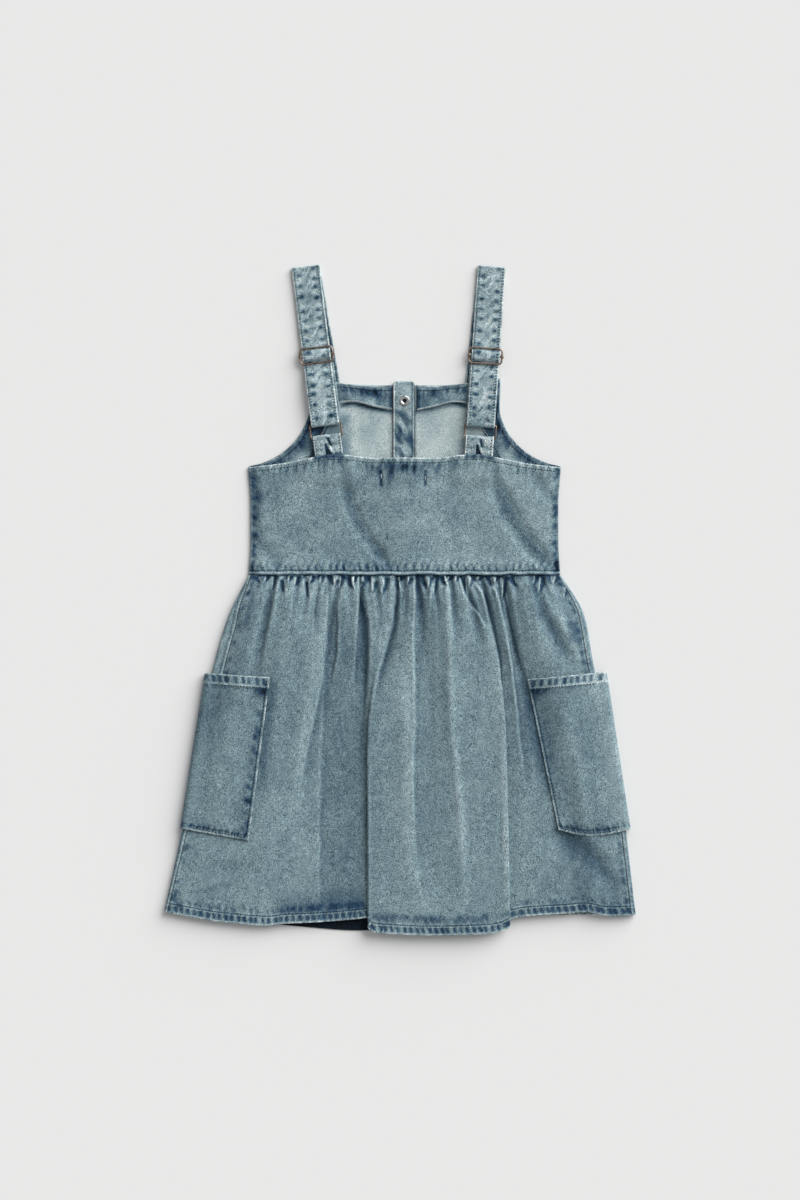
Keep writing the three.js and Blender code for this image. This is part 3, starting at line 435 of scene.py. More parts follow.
# Hollows where the gathers are caught by the waist seam: where each ends, how wide it opens, and how far up
# it reaches.
PLEATS = table(
    "x y wide top",
    (-143, 17, 5.0, 23),
    (-132, 18, 3.4, 24),
    (-124.5, 10, 3.4, 24),
    (-117, 6, 3.0, 20),
    (-109, 18, 3.4, 24),
    (-101.5, 14, 4.2, 23),
    (-92.5, 1, 2.6, 18),
    (-86, 16, 5.6, 24),
    (-77, 16, 2.6, 24),
    (-68.5, 13, 4.2, 24),
    (-63.5, 12, 2.6, 20),
    (-57.5, 12, 3.2, 24),
    (-50.5, 11, 4.8, 23),
    (-44.5, 17, 2.2, 24),
    (-35, 12, 4.2, 23),
    (-30.5, 15, 2.8, 24),
    (-25.5, 5, 2.6, 18),
    (-14, 5, 4.6, 22),
    (-2.5, 9, 2.4, 21),
    (1.5, 18, 4.2, 24),
    (10.5, 15, 4.0, 22),
    (22.5, 13, 5.6, 24),
    (30.5, 11, 2.4, 22),
    (36, 6, 2.2, 22),
    (42.5, 14, 5.0, 24),
    (51, 19, 4.4, 24),
    (57.5, 18, 2.6, 24),
    (64, 6, 2.4, 22),
    (71.5, 12, 3.0, 22),
    (80.5, 19, 4.2, 24),
    (88.5, 13, 4.2, 23),
    (97.5, 18, 3.0, 24),
    (104.5, 0, 2.8, 22),
    (111.5, 14, 6.0, 23),
    (136, 15, 3.6, 24),
    (141.5, 6, 3.4, 22),
    (148.5, 15, 4.2, 24),
    (157, 17, 4.2, 24),
    (166, 2, 2.4, 12),
)


def beside(points, x, y):
    """How far each place is to the left of one who walks along the points, and its share of the way."""
    lengths = [math.dist(a, b) for a, b in zip(points, points[1:])]
    least, aside, share = np.full(x.shape, np.inf), np.zeros(x.shape), np.zeros(x.shape)
    walked = 0
    for k, ((x0, y0), (x1, y1)) in enumerate(zip(points, points[1:])):
        dx, dy = (x1 - x0) / lengths[k], (y1 - y0) / lengths[k]
        along = (x - x0) * dx + (y - y0) * dy
        left = dx * (y - y0) - dy * (x - x0)
        before_start = -along if k else 0
        past_end = along - lengths[k] if k < len(lengths) - 1 else 0
        far = np.hypot(left, np.maximum(np.maximum(before_start, past_end), 0))
        closer = far < least
        least = np.where(closer, far, least)
        aside = np.where(closer, np.copysign(far, left), aside)
        share = np.where(closer, (walked + along) / sum(lengths), share)
        walked += lengths[k]
    return aside, share


def fold_phase(fold, start):
    return (start - fold["middle"]) / fold["half"]


def fold_shift(fold, start, down):
    phase = np.clip(fold_phase(fold, start), -1, 1)
    made = smooth(fold["start"], fold["full"], down)
    return -fold["lap"] * made * np.sin(math.pi * phase) * (1 - phase * phase) * 1.3


def fold_step(fold, start):
    return smooth(-0.62, 0.62, fold_phase(fold, start))


def hem_proud(down):
    return HEM_PROUD * smooth(SKIRT_DROP - HEM_DEEP - 1, SKIRT_DROP - HEM_DEEP, down)


POCKET_TOP, POCKET_FOOT = -75, -243
POCKET_SHARE_LEFT, POCKET_SHARE_RIGHT, POCKET_RAMP = 0.155, 0.82, 0.035
RAMP = 9


def pocket_lift(x, y):
    down = WAIST - y
    share = (x - left_side(down)) / (right_side(down) - left_side(down))
    across = 1 - smooth(POCKET_SHARE_LEFT, POCKET_SHARE_LEFT + POCKET_RAMP, share)
    across = across + smooth(POCKET_SHARE_RIGHT - POCKET_RAMP, POCKET_SHARE_RIGHT, share)
    top = POCKET_TOP + 2
    along = smooth(POCKET_FOOT - RAMP, POCKET_FOOT, y) * (1 - smooth(top, top + RAMP, y))
    return (CLOTH + GAP) * across * along


def fold_top(in_from):
    return SIDE_FOLD + np.sqrt(np.maximum(0, SIDE_FOLD**2 - np.maximum(0, SIDE_FOLD - in_from) ** 2))


def gather_relief(start, down):
    """Height of the back above its level: the gathers' valleys, the long swells and the lobe."""
    relief = np.zeros(np.broadcast(start, down).shape)
    for at, deep, reach in zip(*GATHERS.values()):
        strength = (0.35 + 0.65 * smooth(0, 9, down)) * (1 - smooth(reach * 0.3, reach, down))
        relief = relief - deep * strength * bell(start - at, GATHER_WIDE * (1 + down / 90))
    for at, wide, begin, end, high in zip(*SWELLS.values()):
        fade = lerp(1, SWELL_FADE, smooth(end, SKIRT_DROP, down))
        relief = relief + high * smooth(begin * 0.2, begin, down) * fade * bell(start - at, wide)
    lobe = LOBE_HIGH * smooth(LOBE_FROM, LOBE_FULL, down)
    return relief + lobe * fold_step(LEFT_FOLD, start) * (1 - fold_step(RIGHT_FOLD, start))


def creases(x, y):
    """Height and fade that the pressed creases, ridges and pleats add to the back."""
    height, fade = np.zeros(x.shape), np.zeros(x.shape)
    for points, side, deep, wide, crest in CREASES:
        aside, share = beside(points, x, y)
        away = side * aside + 0.7 * mottle(x / 9, y / 13, 34)
        strength = (smooth(-0.12, 0.1, share) if points[0][1] < 14 else 1) * (1 - smooth(0.6, 1.0, share))
        low = smooth(-0.6, 1.1, away) * np.exp(-np.maximum(away, 0) / wide)
        edge = bell(away + 1.6, 1.8)
        strength = strength * (0.85 + 0.25 * mottle(0 * x + deep, y / 24, 35))
        height += strength * (crest * edge - deep * low)
        near_top = 0.25 + 0.75 * bell(np.minimum(0, y - 18), 24)
        # each crease is darker on its low side, partly indigo kept in the fold and partly painted shade; its
        # edge near the waist is rubbed pale
        fade += strength * (0.34 * near_top * bell(away + 0.7, 1.0) - 0.15 * low)
    for points, wide, high in RIDGES:
        aside, share = beside(points, x, y)
        strength = smooth(-0.1, 0.2, share) * (1 - smooth(0.8, 1.1, share))
        height += high * strength * bell(aside, wide)
        fade += 0.06 * high * strength * bell(aside, wide)
    for k, (x0, foot, wide, top) in enumerate(zip(*PLEATS.values())):
        share = (top - y) / (top - foot)
        side = 1 if k % 3 else -1
        away = side * (x - x0) + wide * (0.35 + 0.6 * share**2)
        half = wide * (1.75 - 1.1 * share)
        open_here = smooth(-0.1, 0.12, share) * (1 - smooth(0.7, 1.1, share))
        hollow = smooth(-0.5, 0.5, away) * (1 - smooth(0.4, 1.25, away / np.maximum(half, 0.3))) * open_here
        rim = bell(away + 0.9, 0.85) * open_here
        height += 0.9 * rim - 2.0 * hollow
        fade += 0.8 * rim - 1.0 * hollow * (0.8 + 0.2 * mottle(x / 1.7, y / 2.2, 33))
    domes, rims, down = gather_domes(x, y)
    height += 3.4 * domes * smooth(0, 2, down)
    fade += (1.1 * domes + 0.55 * rims) * smooth(0.5, 2, down)
    return height, fade


CREASES_AT_WAIST = [points[0][0] for points, *_ in CREASES if points[0][1] > 20]
GATHER_VALLEYS = np.sort([*PLEATS["x"][PLEATS["top"] > 21], *CREASES_AT_WAIST])


def gather_domes(x, y):
    """How high each small gather stands between its valleys at the waist seam, narrow where it is caught, the
    worn rims of each, and the way down from there."""
    down = WAIST - GAP - y
    start = flow_start(x, np.maximum(down, 0))
    after = np.clip(np.searchsorted(GATHER_VALLEYS, start), 1, len(GATHER_VALLEYS) - 1)
    before, after = GATHER_VALLEYS[after - 1], GATHER_VALLEYS[after]
    share = np.clip((start - before) / np.maximum(after - before, 0.5), 0, 1)
    middle = (before + after) / 2
    below = np.maximum(down, 0) / (4 + 5 * chance(np.rint(middle * 10), 0 * middle, 36))
    ridge = np.maximum(np.sin(math.pi * share), 1e-4) ** (0.8 + 4 * np.exp(-below))
    domes = (ridge * np.minimum(1, (after - before) / 8) - 0.45) * np.exp(-below)
    rims = bell(np.minimum(start - before, after - start) - 1.5, 0.8) * np.exp(-np.maximum(down, 0) / 9)
    return domes, rims * (0.6 + 0.5 * mottle(start / 3, down / 5, 38)), down


def hem_dents(run, above_hem, seed):
    """The marks between the ribs of a turned and stitched hem."""
    in_band = smooth(1.4, 2.8, above_hem) * (1 - smooth(7.0, 8.4, above_hem))
    return beads(run + 0.25 * above_hem, 6.2, seed, 2.1, 0.75) * in_band


def slack(start, down):
    """Unevenness of the cloth between its folds, and the roping of its hem."""
    loose = 0.5 * mottle(start / 26, down / 60, 11) + 0.2 * mottle(start / 9, down / 26, 12)
    gather = 0.8 * mottle(start / 3.4, down / 40, 13) * bell(down, 60)
    above_hem = SKIRT_DROP - down
    run = flow_x(start, SKIRT_DROP)
    ribs = pucker(run, above_hem, 6.6, 21, 0.2)
    roped = ribs * (0.3 * bell(above_hem - 4, 4) + 0.1 * bell(above_hem - 15, 6))
    hem = roped - 0.6 * hem_dents(run, above_hem, 21)
    stitched = -0.55 * bell(above_hem - HEM_DEEP, 1.0)
    return loose + gather + hem + stitched


def skirt_height(start, down, square=False, pressed=True):
    x = flow_x(start, down)
    in_from = np.minimum(x - left_side(down), right_side(down) - x)
    edge = 2 * SIDE_FOLD if square else fold_top(in_from)
    side = pocket_lift(x, WAIST - down) + edge
    ramp = smooth(1, 34, in_from)
    flat = lerp(side, level(down), ramp)
    pressed, _ = creases(x + fold_shift(LEFT_FOLD, start, down), WAIST - down) if pressed else (0, 0)
    relief = GATHER_SHARE * gather_relief(start, down) + pressed
    return np.maximum(flat + ramp * relief, 4.4) + smooth(1, 14, in_from) * slack(start, down)


def waist_wander(x):
    """How far the gathers push the waist seam up or down."""
    return 0.6 * mottle(x / 10, 0 * x, 37) * (1 - smooth(130, 150, np.abs(x - AXIS)))


def back_skirt_points(start, down):
    x = flow_x(start, down) + fold_shift(LEFT_FOLD, start, down) + fold_shift(RIGHT_FOLD, start, down)
    y = WAIST - GAP - down - back_hem_drop(start) * smooth(HEM_CURVE_FROM, SKIRT_DROP, down)
    y = y + waist_wander(x) * (1 - smooth(0, 30, down))
    return np.stack([x, y, skirt_height(start, down) + hem_proud(down)], -1)


# ------------------------------------------------------------------ cloth pieces
def finished(name, bm, smooth_faces=True):
    """A new object from a bmesh, which it uses up."""
    mesh = bpy.data.meshes.new(name)
    bm.to_mesh(mesh)
    bm.free()
    mesh.polygons.foreach_set("use_smooth", np.full(len(mesh.polygons), smooth_faces))
    return placed(name, mesh)


def cloth(name, points, thick, fade, edge, uv=None, offset=-1.0, flip=False):
    """One piece of cloth on a grid of points in mm, row by row from the top. fade is its wash, from -1 where
    it keeps its indigo to 1 where it is worn white; edge is the distance in mm to its nearest turned edge."""
    rows, columns = points.shape[:2]
    bm = bmesh.new()
    bmesh.ops.create_grid(bm, x_segments=columns - 1, y_segments=rows - 1, size=1.0)
    if flip:
        bmesh.ops.reverse_faces(bm, faces=bm.faces)
    piece = finished(name, bm)
    mesh = piece.data
    flat = np.empty(len(mesh.vertices) * 3)
    mesh.vertices.foreach_get("co", flat)
    flat = flat.reshape(-1, 3)
    i = np.rint((flat[:, 0] + 1) / 2 * (columns - 1)).astype(int)
    j = np.rint((1 - flat[:, 1]) / 2 * (rows - 1)).astype(int)
    mesh.vertices.foreach_set("co", (points[j, i] * MM).ravel())
    for label, values in (("fade", fade), ("edge", edge)):
        layer = mesh.attributes.new(label, "FLOAT", "POINT")
        layer.data.foreach_set("value", np.broadcast_to(values, (rows, columns))[j, i].astype(np.float32))
    if uv is None:
        uv = points[..., :2]
    corners = np.empty(len(mesh.loops), int)
    mesh.loops.foreach_get("vertex_index", corners)
    mesh.uv_layers.new(name="weave").data.foreach_set("uv", (uv[j, i][corners] * MM).ravel())
    mesh.update()
    wall = piece.modifiers.new("wall", "SOLIDIFY")
    wall.thickness = thick * MM
    wall.offset = offset
    return piece


def worn_by_height(height, across, down, strength):
    """High places rub pale and low places keep their blue."""
    return np.clip((height - blurred(height, across, down)) * strength, -0.8, 0.6)


def spaced(*stretches):
    """Places from one end to the other, each stretch (start, end, step) with its own step."""
    runs = [np.linspace(a, b, max(2, int(round((b - a) / step)) + 1))[:-1] for a, b, step in stretches]
    return np.append(np.concatenate(runs), stretches[-1][1])


# Rows of thread: points in mm, pitch, length and width. Without a pitch a row is one thread from end to end.
STITCH_ROWS = []
OVERLOCK = []


def stitch_row(points, pitch=3.2, length=2.2, width=1.1, proud=0.15):
    STITCH_ROWS.append((np.asarray(points) + (0, 0, proud), pitch, length, width))


# ------------------------------------------------------------------ the back of the skirt
def hem_fade(run, above_hem, seed):
    """A roped hem: pale ribs with indigo between them, and indigo kept in streaks above its stitches."""
    band = 1 - smooth(HEM_DEEP - 2, HEM_DEEP + 1, above_hem)
    streaks = mottle(run / 1.9 + 0.2 * above_hem, above_hem / 9, seed + 1)
    kept = np.clip(0.2 + streaks, 0, 1) * bell(above_hem - HEM_DEEP - 3, 3)
    from_stitches = above_hem - HEM_STITCHES
    line = bell(from_stitches, 2.2) * (0.6 + 0.6 * mottle(run / 1.6, above_hem, seed + 2))
    marks = 0.3 * line - 0.75 * kept - 1.5 * hem_dents(run, above_hem, seed)
    return 0.25 * band + marks - 0.9 * bell(from_stitches, 0.7)


def back_skirt_grid():
    """How far down each row of the back's cloth is, and where at the waist each of its threads starts."""
    downs = spaced((0, 10, 0.9), (10, 60, 1.7), (60, 318, 3.4), (318, SKIRT_DROP, 1.15))
    waist = spaced((LEFT + 4, RIGHT - 4, 0.93))
    spread = waist + 0.8 * flow_x(waist, SKIRT_DROP)  # the hem's cloth fans out from few places at the waist
    inner = np.interp(np.linspace(spread[0], spread[-1], len(waist)), spread, waist)
    shares = (inner - inner[0]) / (inner[-1] - inner[0])
    free = smooth(0, 1, np.interp(inner, [inner[0], -120, 130, inner[-1]], [0, 1, 1, 0]))
    starts = []
    for down in downs:
        first = flow_start(left_seam(down) + GAP / 2, down)
        last = flow_start(right_seam(down) - GAP / 2, down)
        starts.append(lerp(lerp(first, last, shares), inner, free))
    return downs, np.array(starts)


def side_seam_marks(from_seam, down, pitch, seed):
    """What the puckers beside a side seam add to the fade and to the height."""
    dents = beads(down + 0.3 * from_seam, pitch, seed, 2.4) * bell(from_seam - 3.6, 2.2)
    rubbed = bell(from_seam - 1.6, 1.0) * (0.5 + 0.5 * mottle(down / 4, seed, 45))
    kept = blots(down, from_seam, 11, 12, seed + 2) * bell(from_seam - 9, 6) * (1 - smooth(90, 120, down))
    fade = 0.3 * rubbed - 1.0 * dents - 0.25 * bell(from_seam, 1.0) - 0.6 * kept
    ribs = pucker(down, from_seam, 9.5, seed, 0.3) * bell(from_seam - 5, 4)
    seam = 0.35 * bell(from_seam, 1.2) * smooth(4, 20, down)
    return fade, (0.35 * ribs - 0.5 * dents) * smooth(1, 3, from_seam) - seam


def shade_beside_pockets(x, y):
    """Painted shade on the skirt beside each pocket's inner edge, from 0 to 1."""
    kept = 0
    for pocket in POCKETS.values():
        (top_x, top_y), (foot_x, foot_y) = pocket["top_in"], pocket["foot_in"]
        along = (top_y - y) / (top_y - foot_y)
        away = pocket["side"] * (lerp(top_x, foot_x, along) - x)
        kept = kept + bell(away - 3, 6.5) * smooth(-0.08, 0.1, along) * (1 - smooth(0.55, 0.85, along))
    return kept


HEM_CORNERS = ((-226, 15), (-220, 9), (231, 13))  # dark marks near the hem's ends: x and height above the hem
LEAST_FADE = -1.05


def kept_above_hem(x, down):
    """The dye kept in the cloth above the hem's stitches: deep left of the lobe, in streaks on it."""
    above_hem = SKIRT_DROP - down
    left_of_lobe = smooth(-135, -110, x) * (1 - smooth(-38, -32, x))
    uneven = 0.6 + 0.4 * mottle(x / 11, down / 6, 46) + 0.5 * mottle(x / 3, down / 9, 47)
    left = left_of_lobe * (0.75 * bell(above_hem - 14, 4) * uneven + 0.28 * bell(above_hem - 20, 10))
    on_lobe = smooth(-34, -20, x) * (1 - smooth(85, 106, x))
    streaks = np.clip(0.5 + mottle(x / 6, down / 8, 48) + 0.6 * mottle(x / 1.8, down / 9, 49), 0, 1.3)
    corners = sum(bell(x - at, 2.6) * bell(above_hem - high, 3) for at, high in HEM_CORNERS)
    return left + 0.55 * on_lobe * bell(above_hem - 16, 3.2) * streaks + 0.9 * corners


def back_skirt_wash(x, y, start, down, height):
    """The fade of the back of the skirt, all but its side seams."""
    _, pressed = creases(x, y)
    fade = worn_by_height(height, 8, 4, 0.10) + pressed - 0.04
    fade -= 0.8 * bell(down, 1.0) + 0.2 * bell(down, 6) * (0.6 + mottle(start / 4, down / 5, 31))
    fade += 0.25 * bell(down - 12, 9) * mottle(start / 3.5, down / 8, 32)
    fade += hem_fade(flow_x(start, SKIRT_DROP), SKIRT_DROP - down, 21)
    # painted shade on the skirt beside the pockets
    fade -= 0.38 * shade_beside_pockets(x, y)
    # painted shade: in the trough left of the lobe (less of it low down), on the slope to the right pocket
    # and along the left side; and darker just below the waist
    fade -= 0.24 * bell(x + 56, 22) * smooth(20, 90, down) - 0.1 * smooth(180, 260, down) * bell(x + 62, 30)
    fade -= 0.3 * bell(x - 138 - 0.26 * (down - 105), 30) * smooth(70, 130, down)
    fade -= 0.14 * (1 - smooth(-175, -120, x)) * smooth(0, 40, down) * (1 - smooth(200, 290, down))
    fade -= 0.12 * bell(down, 60)
    fade -= kept_above_hem(x, down)
    return fade + 0.09 * mottle(x / 30, down / 90, 43) + 0.07 * mottle(x / 9, down / 40, 44) - 0.03


def make_back_skirt():
    downs, start = back_skirt_grid()
    down = np.broadcast_to(downs[:, None], start.shape)
    points = back_skirt_points(start, down)
    x, y, height = np.moveaxis(points, -1, 0)
    fade = back_skirt_wash(x, y, start, down, height)
    for from_seam, pitch, seed in ((x - left_seam(down), 17, 41), (right_seam(down) - x, 9.6, 42)):
        seam_fade, seam_height = side_seam_marks(from_seam, down, pitch, seed)
        fade += seam_fade
        points[..., 2] += seam_height
    uv = np.stack([start * 1.2, -down], -1)
    piece = cloth("skirt_back", points, CLOTH, np.maximum(fade, LEAST_FADE), SKIRT_DROP - down, uv)
    stitch_row(points[nearest(downs, SKIRT_DROP - HEM_STITCHES)], width=1.0)
    return piece


# ------------------------------------------------------------------ the front of the skirt
# Across the front: 0 at its middle, this where it leaves the table, 1 at the side and 2 at the seam.
FLOOR_TURN = 0.9


def make_front_skirt():
    right = spaced((FLOOR_TURN, 1.0, 0.0125), (1.0, 2.0, 0.1))
    across = np.concatenate([-right[::-1], spaced((-0.86, 0.86, 0.04)), right])
    downs = spaced((0, 60, 2.4), (60, 318, 4.2), (318, SKIRT_DROP, 1.6))
    across, down = np.meshgrid(across, downs)
    side, beyond = np.sign(across), np.abs(across)
    on_top, on_floor = beyond > 1, beyond <= FLOOR_TURN
    edge_x = np.where(side < 0, left_side(down), right_side(down))
    turned = np.where(side < 0, left_turn(down), right_turn(down)) - GAP / 2
    round_in = np.where(on_top, turned * (beyond - 1), SIDE_FOLD * (1 - beyond) / (1 - FLOOR_TURN))
    share = (across / FLOOR_TURN + 1) / 2
    flat_x = lerp(left_side(down) + SIDE_FOLD, right_side(down) - SIDE_FOLD, share)
    x = np.where(on_floor, flat_x, edge_x - side * round_in)
    y = WAIST - GAP - down - front_hem_drop(x) * smooth(HEM_CURVE_FROM, SKIRT_DROP, down)
    lift = pocket_lift(x, WAIST - down)
    under = lift + 2 * SIDE_FOLD - fold_top(round_in)
    over = skirt_height(flow_start(x, down), down) + hem_proud(down)
    above_hem = SKIRT_DROP - down
    from_seam = np.where(on_top, turned * (2 - beyond), 30)
    seam = (0.4 * bell(from_seam - 1.6, 1.6) - 0.2 * bell(from_seam - 3.4, 0.9)) * smooth(4, 20, down)
    z = np.where(on_top, over + seam, np.where(on_floor, lift, under))
    points = np.stack([x, y, z], -1)
    fade = 0.02 - 0.4 * bell(from_seam - 3, 1.1) + 0.2 * bell(from_seam - 0.8, 0.9)
    fade = fade + on_top * (0.25 * mottle(down / 7, from_seam / 5, 51) + hem_fade(x, above_hem, 52))
    # painted shadow inside the hem, where the back's folds hold the two apart
    hem_gap_shadow = smooth(-150, -110, x) * (1 - smooth(-38, -20, x))
    hem_gap_shadow = hem_gap_shadow + smooth(105, 112, x) * (1 - smooth(150, 170, x))
    fade = fade - 2.3 * hem_gap_shadow * bell(above_hem, 22) * ~on_top
    return cloth("skirt_front", points, CLOTH, fade, above_hem, np.stack([x, -down], -1), flip=True)


# ------------------------------------------------------------------ the pockets
POCKETS = {
    "left": {
        "side": -1,
        "top_in": (-129.4, -77),
        "top_fold": (-195, -73),
        "foot_in": (-151, -240),
        "foot_fold": (-219.8, -228.5),
        "sag": 0,
    },
    "right": {
        "side": 1,
        "top_in": (126.8, -79),
        "top_fold": (206.4, -72),
        "foot_in": (158, -229),
        "foot_fold": (230.4, -229.5),
        "sag": -6,
    },
}
POCKET_LONG = 160
POCKET_HEM_SHARE = 0.066  # of its length
POCKET_HEM = 9.6
POCKET_SEAM = 3  # from its stitches to its edge
POCKET_SEAT, POCKET_BELLY, POCKET_GAPE = 0.7, 1.1, 2.2
POCKET_PILLOW = 1.6


def pocket_points(pocket, girth, down):
    """A pocket's cloth: girth is 0 at its inner edge, 1 to 2 round the side and 3 at its hidden edge."""
    corner = {name: np.array(pocket[name], float) for name in ("top_in", "top_fold", "foot_in", "foot_fold")}
    inner = lerp(corner["top_in"], corner["foot_in"], down[..., None])
    fold = lerp(corner["top_fold"], corner["foot_fold"], down[..., None])
    stack = 2 * SIDE_FOLD + 2 * (CLOTH + GAP)
    bend = stack / 2 + CLOTH / 2
    fold_start = fold - np.array([pocket["side"] * bend, 0])
    top = np.clip(girth, 0, 1)
    sag = pocket["sag"] * np.sin(math.pi * top) * down**6
    plan = lerp(inner, fold_start, top[..., None])
    plan_down = WAIST - plan[..., 1]
    skirt = skirt_height(flow_start(plan[..., 0], plan_down), plan_down, square=True, pressed=False)
    seat = skirt + POCKET_SEAT + CLOTH
    belly = POCKET_BELLY * np.sin(math.pi * top) * (1 - down**3)
    gape = POCKET_GAPE * np.sin(math.pi * np.minimum(1, top * 0.8)) * (1 - smooth(0, 0.3, down))
    loose = lerp(seat + belly + gape, 2 * bend, smooth(0.72, 1, top))
    hem_end = smooth(POCKET_HEM_SHARE, POCKET_HEM_SHARE + 0.01, down)
    hem = HEM_PROUD * (1 - hem_end) * (1 - smooth(0.85, 1, top))
    pillow = POCKET_PILLOW * np.sin(math.pi * np.minimum(1, top * 0.93)) ** 1.3
    pillow = pillow * np.sin(math.pi * down) ** 0.7
    turn = math.pi * np.clip(girth - 1, 0, 1)
    side_x = fold_start[..., 0] + pocket["side"] * bend * np.sin(turn)
    under = lerp(fold_start, inner, np.clip(girth - 2, 0, 1)[..., None])

    def by_leaf(on_top, round_side, below):
        return np.where(girth <= 1, on_top, np.where(girth < 2, round_side, below))

    x = by_leaf(plan[..., 0], side_x, under[..., 0])
    y = by_leaf(plan[..., 1] + sag, fold_start[..., 1], under[..., 1])
    z = by_leaf(np.maximum(loose, seat) + hem + pillow, bend + bend * np.cos(turn), 0)
    return np.stack([x, y, z], -1)


def pocket_relief(girth, from_top, from_foot, from_in, dents, left):
    """The puckers and stitch lines pressed into a pocket's top leaf."""
    ribs = pucker(from_in, from_top, 8.2, 61 + left, 0.5)
    relief = ribs * (0.3 * bell(from_top - 5, 4) + 0.12 * bell(from_top - 14, 4)) - 0.55 * dents
    relief += 0.35 * pucker(from_top, from_in, 15, 63 + left) * bell(from_in - 6, 5)
    relief += 0.35 * pucker(from_in, from_foot, 11, 65 + left) * bell(from_foot - 6, 6)
    relief += 0.5 * mottle(from_in / 26, from_top / 40, 67 + left)
    for from_line in (from_top - POCKET_HEM, from_in - POCKET_SEAM, from_foot - POCKET_SEAM):
        relief -= 0.25 * bell(from_line, 0.9)
    inside = smooth(0, 4, from_in) * smooth(0, 4, from_foot)
    return np.where(girth <= 1, relief * inside * (1 - smooth(0.85, 1, girth)), 0)


def pocket_wash(girth, down, from_top, from_foot, from_in, dents, left):
    """The fade of a pocket, all but what its height gives it. The left one kept more dye than the right."""
    at_in, at_foot = from_in - POCKET_SEAM, from_foot - POCKET_SEAM
    # the hem at its mouth
    streaks = mottle(from_in / 2.2 + 0.3 * from_top, from_top / 7, 71 + left)
    fade = 0.35 * (1 - smooth(8, 10, from_top)) - 1.3 * dents - 0.2
    fade -= 0.45 * np.clip(0.25 + streaks, 0, 1) * bell(from_top - 12.5, 2.6)
    fade += 0.7 * bell(from_top - 9.4, 1.0) * (0.8 + 0.5 * mottle(from_in / 1.8, from_top, 72 + left))
    # puckers along its inner edge and its foot
    in_ribs = smooth(0.2, 0.9, pucker(from_top, from_in, 21, 64 + left))
    foot_ribs = smooth(0.1, 0.9, pucker(from_in, from_foot, 9, 66 + left))
    fade -= (0.6 if left else 0.2) * in_ribs * bell(from_in - 4.5, 3)
    fade -= 0.3 * foot_ribs * bell(from_foot - 5.5, 3)
    rubbed = 0.6 + 0.4 * mottle(from_top / 5, from_in / 5, 73 + left)
    fade += 0.3 * (bell(at_in + 1.2, 1.0) + bell(at_foot + 1.2, 1.0)) * rubbed
    fade -= 0.25 * bell(at_foot - 1.6, 1.3) * (0.7 + 0.5 * mottle(from_in / 7, from_foot, 74 + left))
    fade -= 0.45 * bell(at_in, 0.8) + 0.85 * bell(from_in - 6, 7) * bell(from_top - 14, 4.5)
    spots = beads(from_top + 0.3 * from_in, 12.5, 75 + left, 2.6, 0.3) * smooth(25, 50, from_top)
    fade -= (1.1 if left else 0.3) * spots * bell(from_in - 7.2, 2.8)
    ticks = beads(from_in + 0.3 * from_foot, 6.2, 77 + left, 1.2, 0.3) * smooth(1.8, 3.2, from_foot)
    fade -= 0.9 * ticks * (1 - smooth(6, 10, from_foot))
    # the whole leaf
    fade += 0.14 * mottle(from_in / 30, from_top / 40, 69 + left)
    fade += 0.05 * mottle(from_in / 12, from_top / 14, 70 + left)
    # painted shade over the left pocket's upper outer part; on the right one, painted shade at its upper
    # inner corner and painted light on its outer part
    if left:
        return fade - 0.12 * smooth(0.35, 1.0, girth - 0.9 * down + 0.35)
    return fade - 0.16 * (1 - smooth(0.0, 0.8, girth + 0.8 * down)) + 0.3 * smooth(0.6, 0.95, girth)


def make_pocket(name):
    pocket = POCKETS[name]
    left = pocket["side"] < 0
    wide = abs(pocket["top_fold"][0] - pocket["top_in"][0])
    girths = spaced((0, 0.12, 0.013), (0.12, 1, 0.024), (1, 2, 0.1), (2, 3, 0.12))
    downs = spaced((0, 0.12, 0.0065), (0.12, 0.92, 0.0125), (0.92, 1, 0.008))
    girth, down = np.meshgrid(girths, downs)
    points = pocket_points(pocket, girth, down)
    from_top, from_foot, from_in = down * POCKET_LONG, (1 - down) * POCKET_LONG, girth * wide
    in_band = smooth(1.0, 2.4, from_top) * (1 - smooth(7.8, 9.2, from_top))
    dents = beads(from_in + 0.3 * from_top, 7.8, 62 + left, 2.3, 0.65) * in_band
    points[..., 2] += pocket_relief(girth, from_top, from_foot, from_in, dents, left)
    fade = pocket_wash(girth, down, from_top, from_foot, from_in, dents, left)
    fade = fade + worn_by_height(points[..., 2], 4, 4, 0.3) * (girth < 0.9)
    edge = np.minimum(np.minimum(from_top + 0.7, from_foot), from_in)
    uv = np.stack([from_in * pocket["side"], -from_top], -1)
    piece = cloth(f"pocket_patch_{name}", points, CLOTH, fade, edge, uv, flip=left)
    last = int(np.searchsorted(girths, 1.0))
    stitch_row(points[nearest(downs, (POCKET_HEM + 1.2) / POCKET_LONG), : last - 2], width=0.9)
    stitch_row(points[2:-3, nearest(girths, POCKET_SEAM / wide)])
    for up in (POCKET_SEAM, POCKET_SEAM + 2.4):
        stitch_row(points[nearest(downs, 1 - up / POCKET_LONG), 3 : last - 2])
    return piece


# ------------------------------------------------------------------ the bodice
BODICE_SIDE = table("y out", (WAIST, 155.5), (60, 153.6), (95, 153.6), (133, 156.1))
side_out = column(BODICE_SIDE, "y", "out")
BACK_TOP = table(
    "out y",
    (0, 142.2),
    (30, 141.8),
    (58, 144.8),
    (74, 145.2),
    (92, 142.2),
    (125, 136),
    (156.1, 132.5),
)
back_top = column(BACK_TOP, "out", "y")
BACK_LONG = 117
TOP_SEAM, WAIST_SEAM = 5, 4.2  # from the stitches' groove to the edge
TACKS = table("x top", (-19, 126.5), (25, 124.5))  # two short bars of thread below the top edge
LEAST_OVER_BIB = 3.5
